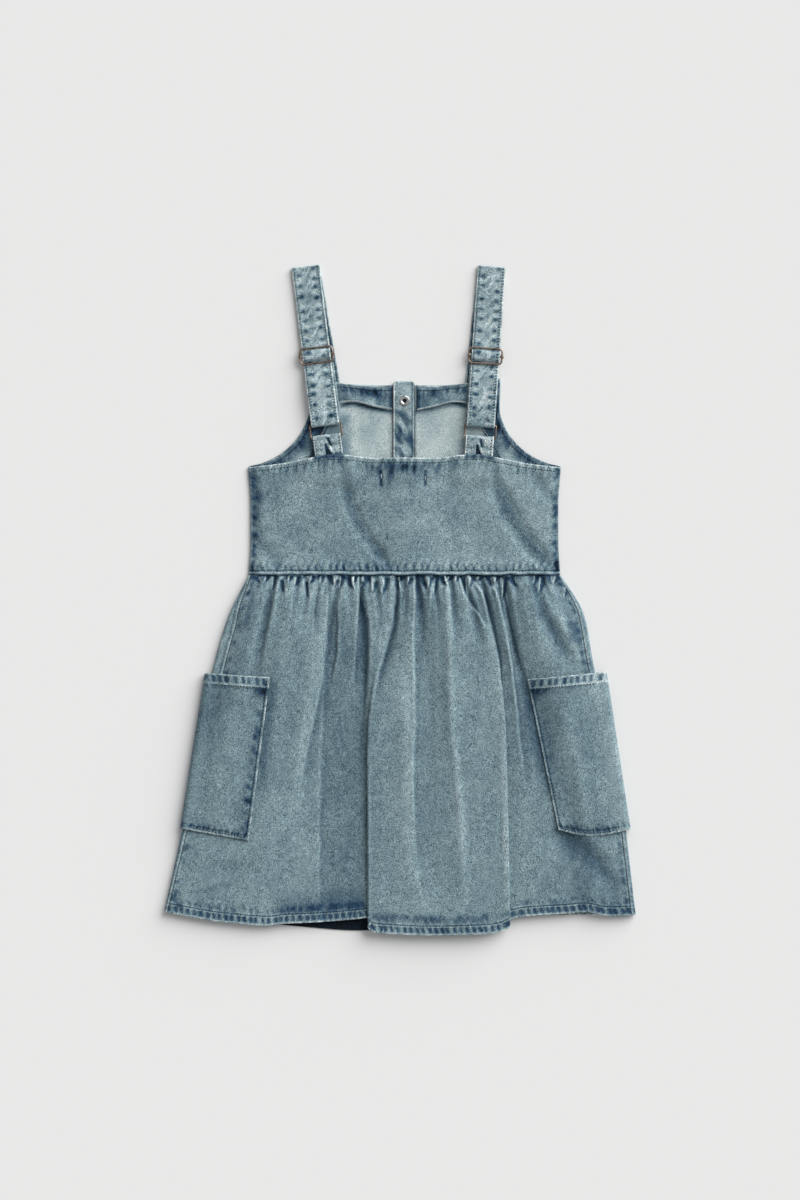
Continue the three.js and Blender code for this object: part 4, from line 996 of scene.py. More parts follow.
# Soft diagonal folds where the cloth is dragged: from and to, bend, width and depth.
DRAG_FOLDS = table(
    "x0 y0 x1 y1 bend wide deep",
    (-58, 132, -11, 35, 9, 5.2, 2.6),
    (92, 136, 147, 36, 9, 6.8, 4.8),
    (130, 128, 152, 98, 0, 7, 1.2),
    (-146, 60, -120, 32, 0, 7, 0.9),
)
# Where the dye is kept in the back bodice: under its top edge, and beside its side seams.
TOP_MARKS = table(
    "x drop wide tall dark",
    (-9.5, 12, 3.2, 11, 1.0),
    (-19.5, 12, 2, 9, 0.6),
    (-14, 6, 3, 4, 0.6),
    (2, 10, 4, 4.5, 0.8),
    (9.5, 8.5, 7, 4, 0.5),
    (14.5, 10.5, 3, 7, 0.8),
    (20, 14, 1.6, 6, 0.6),
    (29, 7, 1.6, 4, 0.6),
    (36.5, 12, 1.6, 5, 0.8),
    (-34, 6, 1.6, 4, 0.5),
    (-41, 6, 1.6, 4, 0.5),
    (54, 7, 1.8, 4.5, 0.6),
)
SIDE_MARKS = table(
    "side y depth wide tall dark",
    (-1, 118, 5, 3.5, 7, 0.5),
    (-1, 101, 7, 5, 6, 0.6),
    (-1, 84, 5, 4.5, 7, 0.75),
    (-1, 65, 4.5, 3.5, 3.5, 0.8),
    (-1, 52, 3, 2.5, 5, 0.7),
    (-1, 33, 5, 6, 3, 0.5),
    (1, 128, 2, 2, 4, 0.8),
    (1, 89, 1.8, 1.8, 5, 0.8),
    (1, 52, 1.8, 1.6, 3, 0.6),
    (1, 37, 3, 3, 5, 0.5),
)


def drag_depth(x, y):
    depth = 0
    for x0, y0, x1, y1, bend, wide, deep in zip(*DRAG_FOLDS.values()):
        dx, dy = x1 - x0, y1 - y0
        along = ((x - x0) * dx + (y - y0) * dy) / (dx * dx + dy * dy)
        aside = ((x - x0) * dy - (y - y0) * dx) / math.hypot(dx, dy)
        aside = aside - 4 * bend * along * (1 - along)
        ends = smooth(-0.1, 0.3, along) * (1 - smooth(0.8, 1.15, along))
        depth = depth + deep * ends * bell(aside, wide)
    return depth


def back_bodice_height(x, y):
    out = np.abs(x - AXIS)
    in_from = side_out(y) - out
    over_placket = 2.6 * bell(out, 24)
    over_loops = smooth(106, 124, y) * (1 - smooth(20, 38, np.abs(out - 75)))
    to_waist = 2.6 * (1 - smooth(WAIST, WAIST + 26, y))
    inside = 5.6 + over_placket + to_waist * (1 - 0.6 * bell(out, 24)) - drag_depth(x, y)
    least = lerp(4.6, 7.9, over_loops)
    return lerp(GAP + 2 * CLOTH, np.maximum(inside + 1.2 * over_loops, least), smooth(0.5, 13, in_from))


def back_bodice_relief(x, y, from_top, from_waist, from_left, from_right, ticks):
    """The puckers, stitch lines and drag folds of the back bodice."""
    relief = pucker(x, from_top, 7.6, 71, 0.2) * (0.25 * bell(from_top - 3, 4) + 0.4 * bell(from_top - 10, 6))
    relief += pucker(x, from_waist, 7.0, 72, -0.4) * 0.5 * bell(from_waist - 10, 5) - 0.6 * ticks
    relief += 0.45 * mottle(x / 30, y / 26, 73) + 0.15 * mottle(x / 10, y / 11, 74)
    for at in TACKS["x"]:
        relief -= 1.2 * bell(x - at, 1.8) * smooth(110, 116, y) * (1 - smooth(127, 132, y))
    relief -= 0.6 * drag_depth(x, y)
    relief *= smooth(0, 9, np.minimum(from_left, from_right))
    relief -= 0.45 * bell(from_top - TOP_SEAM, 0.9) + 0.6 * bell(from_waist - WAIST_SEAM, 0.9)
    relief += 0.8 * bell(from_waist - 1.8, 1.2)
    for from_side, seed in ((from_left, 76), (from_right, 77)):
        relief += 0.5 * pucker(y, from_side, 17, seed, 0.6) * bell(from_side - 7, 5)
    return relief


def back_bodice_wash(x, y, from_top, from_waist, from_left, from_right, ticks):
    """The fade of the back bodice, all but what its height gives it."""
    # under the top edge
    ribs = pucker(x, from_top, 7.6, 71, 0.2)
    fade = 0.3 * ribs * bell(from_top - 2, 3) - 0.5 * blots(x, from_top, 2.8, 12, 71) * bell(from_top - 8, 5)
    fade -= 0.5 * bell(x - 2, 36) * bell(from_top - 12, 8) * blots(x, from_top, 3.6, 15, 75)
    fade -= 0.55 * beads(x + 0.2 * from_top, 8.5, 84, 1.4) * bell(from_top - 6.5, 3)
    for at, drop, wide, tall, dark in zip(*TOP_MARKS.values()):
        fade -= 0.85 * dark * bell(x - at + 0.15 * (from_top - drop), wide) * bell(from_top - drop, tall)
    looped = 1 - smooth(13, 16, np.abs(np.abs(x - AXIS) - 75))
    fade += 0.2 * bell(from_top - 4, 1.6) - 0.9 * looped * bell(from_top - 2, 2.4)
    fade += 0.5 * (1 - looped) * bell(from_top - 0.4, 0.9)
    for at in TACKS["x"]:
        fade -= 0.9 * bell(x - at, 1.3) * smooth(112, 115, y) * (1 - smooth(128, 131, y))
    # above the waist seam
    ribs = pucker(x, from_waist, 7.0, 72, -0.4)
    fade += 0.3 * ribs * bell(from_waist - 9, 4) - 1.15 * ticks
    fade -= 0.3 * blots(x, from_waist, 2.6, 9, 72) * bell(from_waist - 7.5, 4)
    fade -= 0.35 * bell(from_waist - WAIST_SEAM, 0.9) + 0.8 * bell(from_waist, 0.8)
    fade += (0.15 + 0.3 * mottle(x / 4, y / 9, 80)) * bell(from_waist - 2.2, 1.1)
    # beside the side seams
    for side, at, depth, wide, tall, dark in zip(*SIDE_MARKS.values()):
        from_side = from_left if side < 0 else from_right
        fade -= dark * bell(from_side - depth, wide) * bell(y - at, tall)
    for from_side, seed in ((from_left, 76), (from_right, 77)):
        fade -= 0.9 * beads(y + 0.4 * from_side, 9.5, seed, 2.2) * bell(from_side - 4.2, 2.6)
        fade -= 0.25 * bell(from_side - 2.6, 0.9)
    # the whole panel
    fade += 0.17 * mottle(x / 45, y / 40, 78) + 0.13 * mottle(x / 14, y / 13, 79)
    # the drag folds' troughs are darkened: painted shade
    fade += 0.07 * mottle(x / 6, y / 7, 85) - 0.04 - 0.085 * drag_depth(x, y)
    return fade, looped


def make_back_bodice():
    shares = spaced((-1, -0.93, 0.006), (-0.93, 0.93, 0.0085), (0.93, 1, 0.006))
    downs = spaced((0, 0.16, 0.0085), (0.16, 0.84, 0.017), (0.84, 0.93, 0.01), (0.93, 1, 0.006))
    share, down = np.meshgrid(shares, downs)
    x = AXIS + share * side_out(lerp(back_top(156 * np.abs(share)), WAIST, down))
    top = back_top(np.abs(x - AXIS))
    y = lerp(top, WAIST, down)
    from_top, from_waist = top - y, y - WAIST
    from_left, from_right = x - (AXIS - side_out(y)), AXIS + side_out(y) - x
    in_band = smooth(3.6, 4.6, from_waist) * (1 - smooth(7, 13, from_waist))
    ticks = beads(x + 0.25 * from_waist, 7.6, 82, 1.0) * in_band
    place = (x, y, from_top, from_waist, from_left, from_right, ticks)
    z = back_bodice_height(x, y) + back_bodice_relief(*place)
    fade, looped = back_bodice_wash(*place)
    fade = fade + worn_by_height(z, 5, 3, 0.15)
    # the folds stop a little above the bib under them
    least = LEAST_OVER_BIB * smooth(2, 13, np.minimum(from_left, from_right))
    ease = 0.35
    z = least + ease * np.logaddexp(0, (z - least) / ease)
    points = np.stack([x, y + waist_wander(x) * (1 - smooth(0, 20, from_waist)), z], -1)
    edge = np.minimum(from_top + 3 * looped, np.minimum(from_left, from_right) + 1.5)
    piece = cloth("bodice_back", points, CLOTH, fade, edge)
    stitch_row(points[nearest(downs, TOP_SEAM / BACK_LONG), 3:-3])
    stitch_row(points[nearest(downs, 1 - (WAIST_SEAM + 0.2) / BACK_LONG), 2:-2])
    for at, tack_top in zip(*TACKS.values()):
        ends = np.array([(at, tack_top), (at + 0.6, tack_top - 6)])
        OVERLOCK.append((np.append(ends, back_bodice_height(*ends.T)[:, None] - 0.6, 1), None, None, 1.0))
    return piece


# ------------------------------------------------------------------ the bib and its facings
BIB_INNER, BIB_DIP, BIB_OUTER = 215, -1, 222  # y of the neck edge by the placket, its dip, and y by the strap
ARMHOLE = table(
    "step out y",
    (0, 96.5, 222),
    (0.1, 95.5, 190),
    (0.18, 101, 171.7),
    (0.26, 112.5, 155.6),
    (0.34, 128.5, 143),
    (0.41, 143, 136.5),
    (0.47, 156.1, 132.5),
    (0.64, 153.6, 95),
    (0.82, 153.6, 60),
    (1, 155.5, WAIST),
)
edge_out = column(ARMHOLE, "step", "out")
edge_y = column(ARMHOLE, "step", "y")
PLACKET_LEFT, PLACKET_RIGHT, PLACKET_TOP = 11.3, 9.7, 218.5
FACING_EDGE = table(
    "step outer_out outer_y free_out free_y",
    (0, 12, 214.6, 12, 189),
    (0.12, 32, 213.6, 30, 193),
    (0.24, 55, 215.5, 50, 197.5),
    (0.34, 78, 218.6, 62, 196),
    (0.44, 95.6, 221.4, 70, 184),
    (0.56, 94.8, 192, 79, 168),
    (0.68, 100.4, 171.7, 89, 154),
    (0.78, 112, 155.8, 99, 138),
    (0.88, 128, 142.8, 123, 122),
    (1, 145, 134.5, 145, 113),
)
FACING_DEEP, FACING_LONG = 24, 230
STRAP_END_OUT, STRAP_END_WIDE, STRAP_END_Y = 78, 21.5, 208


def bib_shade(out, y, side):
    """How much painted shade darkens the bib's inside beside the straps and under the facing's free edge."""
    beside_strap = (1.3 if side > 0 else 0.8) * smooth(68, 86, out) * (1 - smooth(158, 172, y))
    near_strap = (0.2 if side > 0 else 1.1) * smooth(49, 59, out) * (1 - smooth(180, 192, y))
    free_edge = np.interp(out, FACING_EDGE["free_out"][:4], FACING_EDGE["free_y"][:4])
    dark = 0.9 + 1.6 * smooth(38, 58, out) if side > 0 else 1.7 + 0.5 * smooth(38, 58, out)
    under_facing = dark * bell(y - free_edge + 1, 3.0) * (1 - smooth(62, 66, out))
    return beside_strap + near_strap + under_facing


def make_bib(name, side):
    share, step = np.meshgrid(np.linspace(0, 1, 40), spaced((0, 0.5, 0.0125), (0.5, 1, 0.04)))
    if side < 0:
        share = share[:, ::-1]
    inner = (PLACKET_LEFT if side < 0 else PLACKET_RIGHT) + GAP
    out = lerp(inner, edge_out(step), share)
    straight = lerp(lerp(BIB_INNER, WAIST, step), edge_y(step), share)
    curved = lerp(BIB_INNER, BIB_OUTER, share**2) + BIB_DIP * np.sin(math.pi * share)
    neck = curved - lerp(BIB_INNER, BIB_OUTER, share)
    x, y = AXIS + side * out, straight + neck * (1 - smooth(0, 0.3, step))
    swell = 0.35 * (1 + mottle(x / 24, y / 30, 83)) * smooth(2, 14, out - inner) * smooth(156, 140, out)
    points = np.stack([x, y, CLOTH + swell], -1)
    fade = 0.4 * mottle(x / 28, y / 34, 81) + 0.28 * mottle(x / 9, y / 14, 82) - bib_shade(out, y, side)
    # darker patches in a band either side of the placket: painted shade
    fade = fade - 0.3 * blots(y, x, 40, 9, 84 + side) * bell(out - inner - 26, 8)
    return cloth(name, points, CLOTH, fade, np.full(x.shape, 9.0))


def facing_wash(x, y, step, run, from_edge):
    """The fade of a facing: step is 0 at the placket and 1 at the end of the armhole."""
    neck = 1 - smooth(0.34, 0.42, step)
    fade = 0.5 * neck * bell(step - 0.13, 0.07) * mottle(x / 9, y / 9, 92)
    fade += 0.32 * mottle(x / 11, y / 8, 93) - 0.2
    fade -= 0.7 * blots(run, from_edge, 3.2, 12, 91) * bell(from_edge - 7, 5)
    fade -= 0.2 * neck * bell(from_edge - 9, 5) + 0.3 * (1 - neck) * (1 - smooth(4, 15, from_edge))
    # darker across the armhole part by the ring: painted shade, with indigo kept there too
    fade -= 0.9 * bell(step - 0.6, 0.09) * smooth(2, 8, from_edge)
    fade += 0.4 * smooth(0.7, 0.8, step) * smooth(10, 19, from_edge)
    fade -= 0.15 * neck * smooth(0.24, 0.3, step) + 0.3 * bell(from_edge - TOP_SEAM, 0.9)
    # darker beside the placket: painted shade of the gap there, with indigo kept in the fold too
    fade -= 0.8 * (1 - smooth(0.0, 0.035, step)) * smooth(1, 4, from_edge)
    return fade + 0.6 * neck * bell(FACING_DEEP - from_edge - 0.5, 1.2)


def make_facing(name, side):
    columns = np.linspace(0, 1, 26)[::-side]  # 0 at the neck or armhole, 1 at the free edge
    across, step = np.meshgrid(columns, np.linspace(0, 1, 150))
    ends = {key: column(FACING_EDGE, "step", key)(step) for key in FACING_EDGE if key != "step"}
    out = lerp(ends["outer_out"], ends["free_out"], across)
    x, y = AXIS + side * out, lerp(ends["outer_y"], ends["free_y"], across)
    from_edge, run = across * FACING_DEEP, step * FACING_LONG
    over = (STRAP_THICK + GAP) * (1 - smooth(STRAP_END_WIDE, STRAP_END_WIDE + 8, np.abs(out - STRAP_END_OUT)))
    on_strap = over * smooth(STRAP_END_Y - 13, STRAP_END_Y - 5, y)
    curl = 3.2 * smooth(0.25, 1, across) * bell(step - 0.17, 0.13)
    curl = curl * np.sin(math.pi * np.minimum(1, step / 0.36))
    waves = 0.5 * np.sin(run / 9 + side) * smooth(0.5, 1, across) * smooth(0.5, 0.2, step)
    z = CLOTH + GAP + FACING_CLOTH + on_strap + curl + np.maximum(waves, -0.2)
    z = z + 0.2 * pucker(run, from_edge, 7.5, 91) * bell(from_edge - 5, 5) * smooth(0, 2, from_edge)
    points = np.stack([x, y, z], -1)
    fade = facing_wash(x, y, step, run, from_edge)
    piece = cloth(name, points, FACING_CLOTH, fade, from_edge, np.stack([run, from_edge], -1))
    stitch_row(points[2:-6, nearest(columns, TOP_SEAM / FACING_DEEP)])
    raw = slice(0, 96)  # where the free edge shows between the straps
    overlock(points[raw, nearest(columns, 0.98)], points[raw, nearest(columns, 0.9)])
    return piece


OVERLOCK_PITCH = 1.9


def overlock(edge_line, inner_line):
    """Short slanting threads over a raw edge."""
    middle = (edge_line + inner_line) / 2
    lengths = np.append(0, np.cumsum(np.linalg.norm(np.diff(middle, axis=0), axis=1)))
    for s in np.arange(1, lengths[-1] - 1, OVERLOCK_PITCH):
        ends = []
        for line, at in ((edge_line, s), (inner_line, s + 0.7)):
            ends.append([np.interp(at, lengths, line[:, k]) for k in range(3)])
        OVERLOCK.append((np.array(ends) + (0, 0, 0.3), None, None, 1.2))


# ------------------------------------------------------------------ the placket and its snap
SNAP_X, SNAP_YS = 4.6, (199, 137, 75)
SNAP_CAP_THICK = 0.9
SNAP_REACH = 13  # how far along the band a cap lifts it
# Profiles of the snaps' two parts: radius and height.
SNAP_CAP = [(0, 0), (5.2, 0), (6.2, 0.15), (6.5, 0.5), (6.3, 0.85), (5.8, 0.9), (0, 0.9)]
SNAP_SOCKET = [
    *((2.1, 0), (4.6, 0), (5.15, 0.18), (5.2, 0.4), (4.9, 0.68), (4.3, 0.8)),
    *((3.4, 0.78), (2.9, 0.6), (2.5, 0.4), (2.1, 0.3), (2.1, 0)),
]


def snap_flat(y):
    """How far the snaps' caps lift the bands."""
    lift = sum((SNAP_CAP_THICK + GAP) * np.sqrt(bell(y - at, SNAP_REACH)) for at in SNAP_YS)
    return np.minimum(lift, SNAP_CAP_THICK + GAP)


def make_band(name, floor, seed):
    ys = np.linspace(PLACKET_TOP, WAIST + GAP, 120)
    xs = np.linspace(AXIS - PLACKET_LEFT + GAP / 2, AXIS + PLACKET_RIGHT - GAP / 2, 22)
    x, y = np.meshgrid(xs, ys)
    from_left, from_right = x - xs[0], xs[-1] - x
    z = floor + snap_flat(y) + BAND_CLOTH
    z = z + 0.3 * pucker(y, from_left, 13, seed, 0.8) * bell(from_left - 11, 7)
    z = z - 0.35 * (bell(from_left - 2.6, 0.8) + bell(from_right - 2.2, 0.8))
    z = z + 0.25 * bell(from_left - 0.8, 0.9)
    y = y - 1.8 * (bell(from_left, 1.3) + bell(from_right, 1.3)) * smooth(PLACKET_TOP - 7, PLACKET_TOP, y)
    points = np.stack([x, y, np.maximum(z, floor + BAND_CLOTH)], -1)
    fade = -0.1 + 0.35 * mottle(x / 8, y / 15, seed + 1)
    fade = fade - 1.1 * blots(x + 0.4 * y, y, 4.5, 10, seed + 2) * (1 - smooth(186, 192, y))
    fade = fade - 0.4 * bell(from_right - 2.2, 1.0) - 0.3 * bell(from_left - 2.6, 0.8)
    fade = fade + 0.5 * bell(from_left - 0.6, 0.9)
    shows = floor > 0
    # painted shade on the cloth seen through the socket's hole
    snap_hole_shade = np.hypot(x - SNAP_X, y - SNAP_YS[0]) < 2.6
    fade = fade - 2.4 * snap_hole_shade * shows
    edge = np.minimum(from_left, PLACKET_TOP - y)
    piece = cloth(name, points, BAND_CLOTH, fade, edge)
    if shows:
        stitch_row(points[2:, 2], width=0.6)
        stitch_row(points[2:, -3], width=0.6)
    return piece


# ------------------------------------------------------------------ straps and loops
RING_SIZE = (33, 15.8, 3)  # width, height and corner
SLIDER_SIZE = (34.5, 17.2, 4.5)
SLIDER_AT, RING_AT = 89, 164.5  # down from the shoulder
BAR_APART = SLIDER_SIZE[1] / 2 - WIRE / 2
RING_BAR = RING_SIZE[1] / 2 - WIRE / 2
ROUND_BAR = WIRE / 2 + GAP + STRAP_THICK / 2
RING_Z, SLIDER_Z = 5.7, 6.6
HUMP_Z = SLIDER_Z + WIRE / 2 + GAP + STRAP_THICK / 2
UNDER_BAR_Z = SLIDER_Z - WIRE / 2 - GAP - STRAP_THICK / 2
STRAPS = {
    "left": {"side": -1, "shoulder": (-94.3, 332.6), "lean": 7.1, "front_drift": 5.2, "return_drift": 2.2},
    "right": {"side": 1, "shoulder": (91.6, 332.4), "lean": -4, "front_drift": 3.8, "return_drift": 1.2},
}


def turn_of(run, z, radius, begin, end, drift):
    """Places round a bend, from one angle to another."""
    angles = np.radians(np.linspace(begin, end, 7))
    return [(run + radius * math.sin(a), z + radius * math.cos(a), drift) for a in angles]


# A strap's path as places down from the shoulder, their height, and which of its layers they are in: 1 the
# front one under the strap, 0 the top one, 2 the one that comes back from the ring.
STRAP_PATH = [
    (125, 2.3, 1),
    (119, 2.3, 1),
    (112, 2.3, 1),
    (104, 0.85, 1),
    (80, 0.8, 1),
    (40, 0.8, 1),
    (8, 0.8, 1),
    *turn_of(1.05, 1.8, 1.0, 180, 360, 0),
    (8, 2.9, 0),
    (40, 3.2, 0),
    (68, 3.8, 0),
    (SLIDER_AT - BAR_APART - 2.5, UNDER_BAR_Z, 0),
    (SLIDER_AT - BAR_APART + 0.9, UNDER_BAR_Z + 0.1, 0),
    (SLIDER_AT - 2.2, HUMP_Z - 0.2, 0),
    (SLIDER_AT + 2.2, HUMP_Z - 0.2, 0),
    (SLIDER_AT + BAR_APART - 0.9, UNDER_BAR_Z + 0.1, 0),
    (SLIDER_AT + BAR_APART + 2.5, UNDER_BAR_Z + 0.1, 0),
    (111, 7.7, 0),
    (126, 8.2, 0),
    (142, 8.0, 0),
    *turn_of(RING_AT - RING_BAR, RING_Z, ROUND_BAR, 0, 180, 0),
    (148, 3.9, 2),
    (139, 5.0, 2),
    (132, 6.0, 2),
    (122, 6.1, 2),
    (112, 5.7, 2),
    (104, 3.4, 2),
    (98, 2.75, 2),
    (94.5, 3.1, 2),
    (SLIDER_AT + 1.5, 4.4, 2),
    (SLIDER_AT - 1.5, UNDER_BAR_Z, 2),
]
LOOP_FOOT = 205
LOOP_PATH = [
    (LOOP_FOOT, 5.7, 0),
    (190, 5.7, 0),
    (181, 6.4, 0),
    *turn_of(RING_AT + RING_BAR, RING_Z, ROUND_BAR, 360, 180, 0),
    (181, 3.7, 0),
    (190, 3.7, 0),
    (LOOP_FOOT, 3.7, 0),
]


def strap_frame(strap):
    lean = math.radians(strap["lean"])
    across = np.array([math.cos(lean), math.sin(lean)])
    along = np.array([math.sin(lean), -math.cos(lean)])
    return np.array(strap["shoulder"]), across, along


def ribbon_points(strap, path, step=0.8, columns=31):
    """A strap's middle surface along its path, with each row's distance along it."""
    run, z, drift = (np.array(values, float) for values in zip(*path))
    chord = np.append(0, np.cumsum(np.hypot(np.diff(run), np.diff(z))))
    along = np.linspace(0, chord[-1], int(chord[-1] / step) + 1)
    run_at, z_at = curve_through(chord, run)(along), curve_through(chord, z)(along)
    front = np.interp(along, chord, drift == 1)
    back = np.interp(along, chord, drift == 2)
    inward = -strap["side"] * (front * strap["front_drift"] * run_at / 112 + back * strap["return_drift"])
    aside = np.linspace(-STRAP_WIDE / 2, STRAP_WIDE / 2, columns)
    shoulder, across, down = strap_frame(strap)
    plan = shoulder + (aside[None, :, None] + inward[:, None, None]) * across + run_at[:, None, None] * down
    height = np.broadcast_to(z_at[:, None], plan.shape[:2])
    return np.concatenate([plan, height[..., None]], -1), along, aside


def loop_crease(low, a):
    """The fold across a ring's loop, low being down from the ring: its dark slash, its pale ridge and the
    painted shade below the ridge.
    """
    slash = bell(a - 0.8 - 0.2 * low, 1.9) * smooth(0, 1.5, low) * (1 - smooth(8.5, 10.5, low))
    ridge = bell(a + 3 - 0.42 * low, 0.9) * smooth(2, 4, low) * (1 - smooth(14, 16, low))
    shade = smooth(-4, -3, a) * smooth(-0.5, 0.8, 0.42 * low - 3.6 - a) * smooth(5.5, 7.5, low)
    return slash, ridge, shade


STRAP_SEAM = 2.5  # from its stitches to its edge
FRONT_LAYER_END, LAST_LAYER_START = 112, 286  # along the strap
LOOP_TO_BODICE = 34  # along the loop


def make_ribbon(name, strap, path, seed, crease=False):
    """A strap, or with a crease the loop that holds its ring."""
    points, along, aside = ribbon_points(strap, path)
    s, a = np.meshgrid(along, aside, indexing="ij")
    from_edge = STRAP_WIDE / 2 - np.abs(a)
    normal = np.cross(np.gradient(points, axis=1), np.gradient(points, axis=0))
    normal /= np.linalg.norm(normal, axis=-1, keepdims=True)

    def by_side(left_shift, right_shift, long, least):
        left = beads(s + left_shift, 11.2, seed, long, least)
        return np.where(a < 0, left, beads(s + right_shift, 10.2, seed + 1, long, least))

    dents = by_side(0, 5, 1.8, 0.7) * bell(from_edge - 6.6, 2.6)
    bars = by_side(5.6, 10.1, 1.5, 0.4) * bell(from_edge - 6, 4.5)
    streaks = mottle((s + 1.4 * a) / 3.6, (s - a) / 16, seed + 4) * bell(a, 7.5)
    streaks = streaks + 0.5 * mottle(s / 2.6, a / 9, seed + 6) * (1 - bell(a, 6))
    stitched = bell(from_edge - STRAP_SEAM, 0.9)
    bulge = 0.3 * mottle(s / 8, a / 6, seed + 3) - 0.55 * dents + 0.3 * bars + 0.35 * streaks - 0.3 * stitched
    # painted shade in the hollow at each stitch, with the cloth beside the stitches rubbed pale
    stitch_hollow_shade = 0.5 + 0.5 * np.cos(2 * math.pi * s / 2.9)
    fade = 0.3 - 1.5 * dents + 0.3 * bars + 0.5 * streaks + 0.25 * mottle(s / 12, a / 7, seed + 5)
    fade = fade + 0.2 * bell(from_edge - 1, 1.0) + stitched * (0.35 - 1.7 * stitch_hollow_shade)
    if crease:
        low = LOOP_TO_BODICE - s
        slash, ridge, shade = loop_crease(low, a)
        bulge = bulge - 0.9 * slash + 0.8 * ridge - 0.7 * shade
        # the dark line at the loop's foot, where the bodice's edge lies over it, is painted shadow
        fade = 0.25 + 0.6 * fade - 1.9 * slash + 0.8 * ridge - 1.7 * shade - 1.2 * bell(low - 19, 1.8)
    else:
        hidden = smooth(LAST_LAYER_START, LAST_LAYER_START + 6, s)
        fade = fade - 0.75 * (1 - smooth(FRONT_LAYER_END, FRONT_LAYER_END + 8, s))
        fade = lerp(fade, 0.1 - 0.3 * stitched, hidden)
        from_edge = from_edge + 2 * hidden
    points = points + normal * bulge[..., None]
    points[..., 2] = np.maximum(points[..., 2], STRAP_THICK / 2)
    piece = cloth(name, points, STRAP_THICK, fade, from_edge, np.stack([a, s], -1), offset=0.0)
    facing_up = np.abs(normal[:, len(aside) // 2, 2]) > 0.3
    both = (2, -3)  # the columns of points that its two rows of stitches follow
    inner = (both[0] if strap["side"] > 0 else both[1],)
    runs = [(6, FRONT_LAYER_END, inner), (122, along[-1] - 90, both)]
    if crease:
        runs = [(16, LOOP_TO_BODICE, both)]
    for begin, end, sides in runs:
        rows = facing_up & (along > begin) & (along < end)
        for k in sides:
            line = points[rows, k] + normal[rows, k] * np.sign(normal[rows, k, 2:]) * STRAP_THICK / 2
            stitch_row(line, pitch=2.9, length=1.5, width=1.15, proud=0.12)
    return piece


# ------------------------------------------------------------------ wire fittings and snaps
def wire_loop(name, strap, at, z, wide, tall, corner, bar=False):
    """A rounded oblong of wire lying flat, with a bar across its middle for a slider."""
    shoulder, across, down = strap_frame(strap)
    centre = shoulder + at * down
    w, h, r = (wide - WIRE) / 2, (tall - WIRE) / 2, corner - WIRE / 2
    curve = bpy.data.curves.new(name, "CURVE")
    curve.dimensions = "3D"
    curve.bevel_depth = WIRE / 2 * MM
    curve.bevel_resolution = 4
    curve.use_fill_caps = True

    def spline(flat, closed):
        line = curve.splines.new("POLY")
        line.points.add(len(flat) - 1)
        for point, (x, y) in zip(line.points, flat):
            place = centre + x * across + y * -down
            point.co = (place[0] * MM, place[1] * MM, z * MM, 1)
        line.use_cyclic_u = closed

    outline = []
    for right, top, begin in ((1, 1, 0), (-1, 1, 90), (-1, -1, 180), (1, -1, 270)):
        for angle in np.radians(np.linspace(begin, begin + 90, 7)):
            outline.append((right * (w - r) + r * math.cos(angle), top * (h - r) + r * math.sin(angle)))
    spline(outline, True)
    if bar:
        spline([(-w, 0), (-w / 2, 0), (0, 0), (w / 2, 0), (w, 0)], False)
    piece = placed(name, curve)
    if not bar:
        return (piece,)
    ends = [(*(centre + end * (w + 0.1) * across), z) for end in (-1, 1)]
    return piece, slider_nubs(name + "_nubs", ends, strap["lean"])


NUB_ROUND, NUB_LONG, NUB_EASED = 1.5, 3.4, 0.35


def slider_nubs(name, ends, lean):
    """The two short sleeves where a slider's bar is held by its frame."""
    bm = bmesh.new()
    for end in ends:
        where = Matrix.Translation([value * MM for value in end])
        turned = Matrix.Rotation(math.radians(lean), 4, "Z") @ Matrix.Rotation(math.pi / 2, 4, "Y")
        size = {"radius1": NUB_ROUND * MM, "radius2": NUB_ROUND * MM, "depth": NUB_LONG * MM}
        bmesh.ops.create_cone(bm, cap_ends=True, segments=14, matrix=where @ turned, **size)
    rims = [edge for edge in bm.edges if len(edge.link_faces) == 2 and edge.calc_face_angle() > 1]
    eased = {"offset": NUB_EASED * MM, "segments": 2, "profile": 0.5, "affect": "EDGES", "material": -1}
    bmesh.ops.bevel(bm, geom=rims, **eased)
    return finished(name, bm)


def spun(name, profile, x, y, z, segments=40):
    """A turned fitting from its profile, radius and height in mm."""
    bm = bmesh.new()
    verts = [bm.verts.new((r * MM, 0, h * MM)) for r, h in profile]
    edges = [bm.edges.new(pair) for pair in zip(verts, verts[1:])]
    full_turn = {"axis": (0, 0, 1), "cent": (0, 0, 0), "angle": 2 * math.pi, "use_merge": True}
    bmesh.ops.spin(bm, geom=verts + edges, steps=segments, **full_turn)
    bmesh.ops.remove_doubles(bm, verts=bm.verts, dist=1e-6)
    bmesh.ops.recalc_face_normals(bm, faces=bm.faces)
    bmesh.ops.translate(bm, verts=bm.verts, vec=(x * MM, y * MM, z * MM))
    return finished(name, bm)


# ------------------------------------------------------------------ thread
def make_thread(name, rows):
    """All the stitches of one thread, each a small bead drawn out along its row."""
    bm = bmesh.new()
    for points, pitch, length, width in rows:
        along = np.append(0, np.cumsum(np.linalg.norm(np.diff(points, axis=0), axis=1)))
        pairs = [(0, along[-1])]
        if pitch is not None:
            pairs = [(s, s + length) for s in np.arange(1.0, along[-1] - length - 0.5, pitch)]
        for pair in pairs:
            begin, end = (Vector([np.interp(s, along, points[:, k]) * MM for k in range(3)]) for s in pair)
            way = end - begin
            turn = way.to_track_quat("X", "Z").to_matrix().to_4x4()
            size = Matrix.Diagonal((way.length / 2, width / 2 * MM, width / 2.6 * MM, 1))
            place = Matrix.Translation((begin + end) / 2) @ turn @ size
            bmesh.ops.create_icosphere(bm, subdivisions=1, radius=1.0, matrix=place)
    return finished(name, bm)


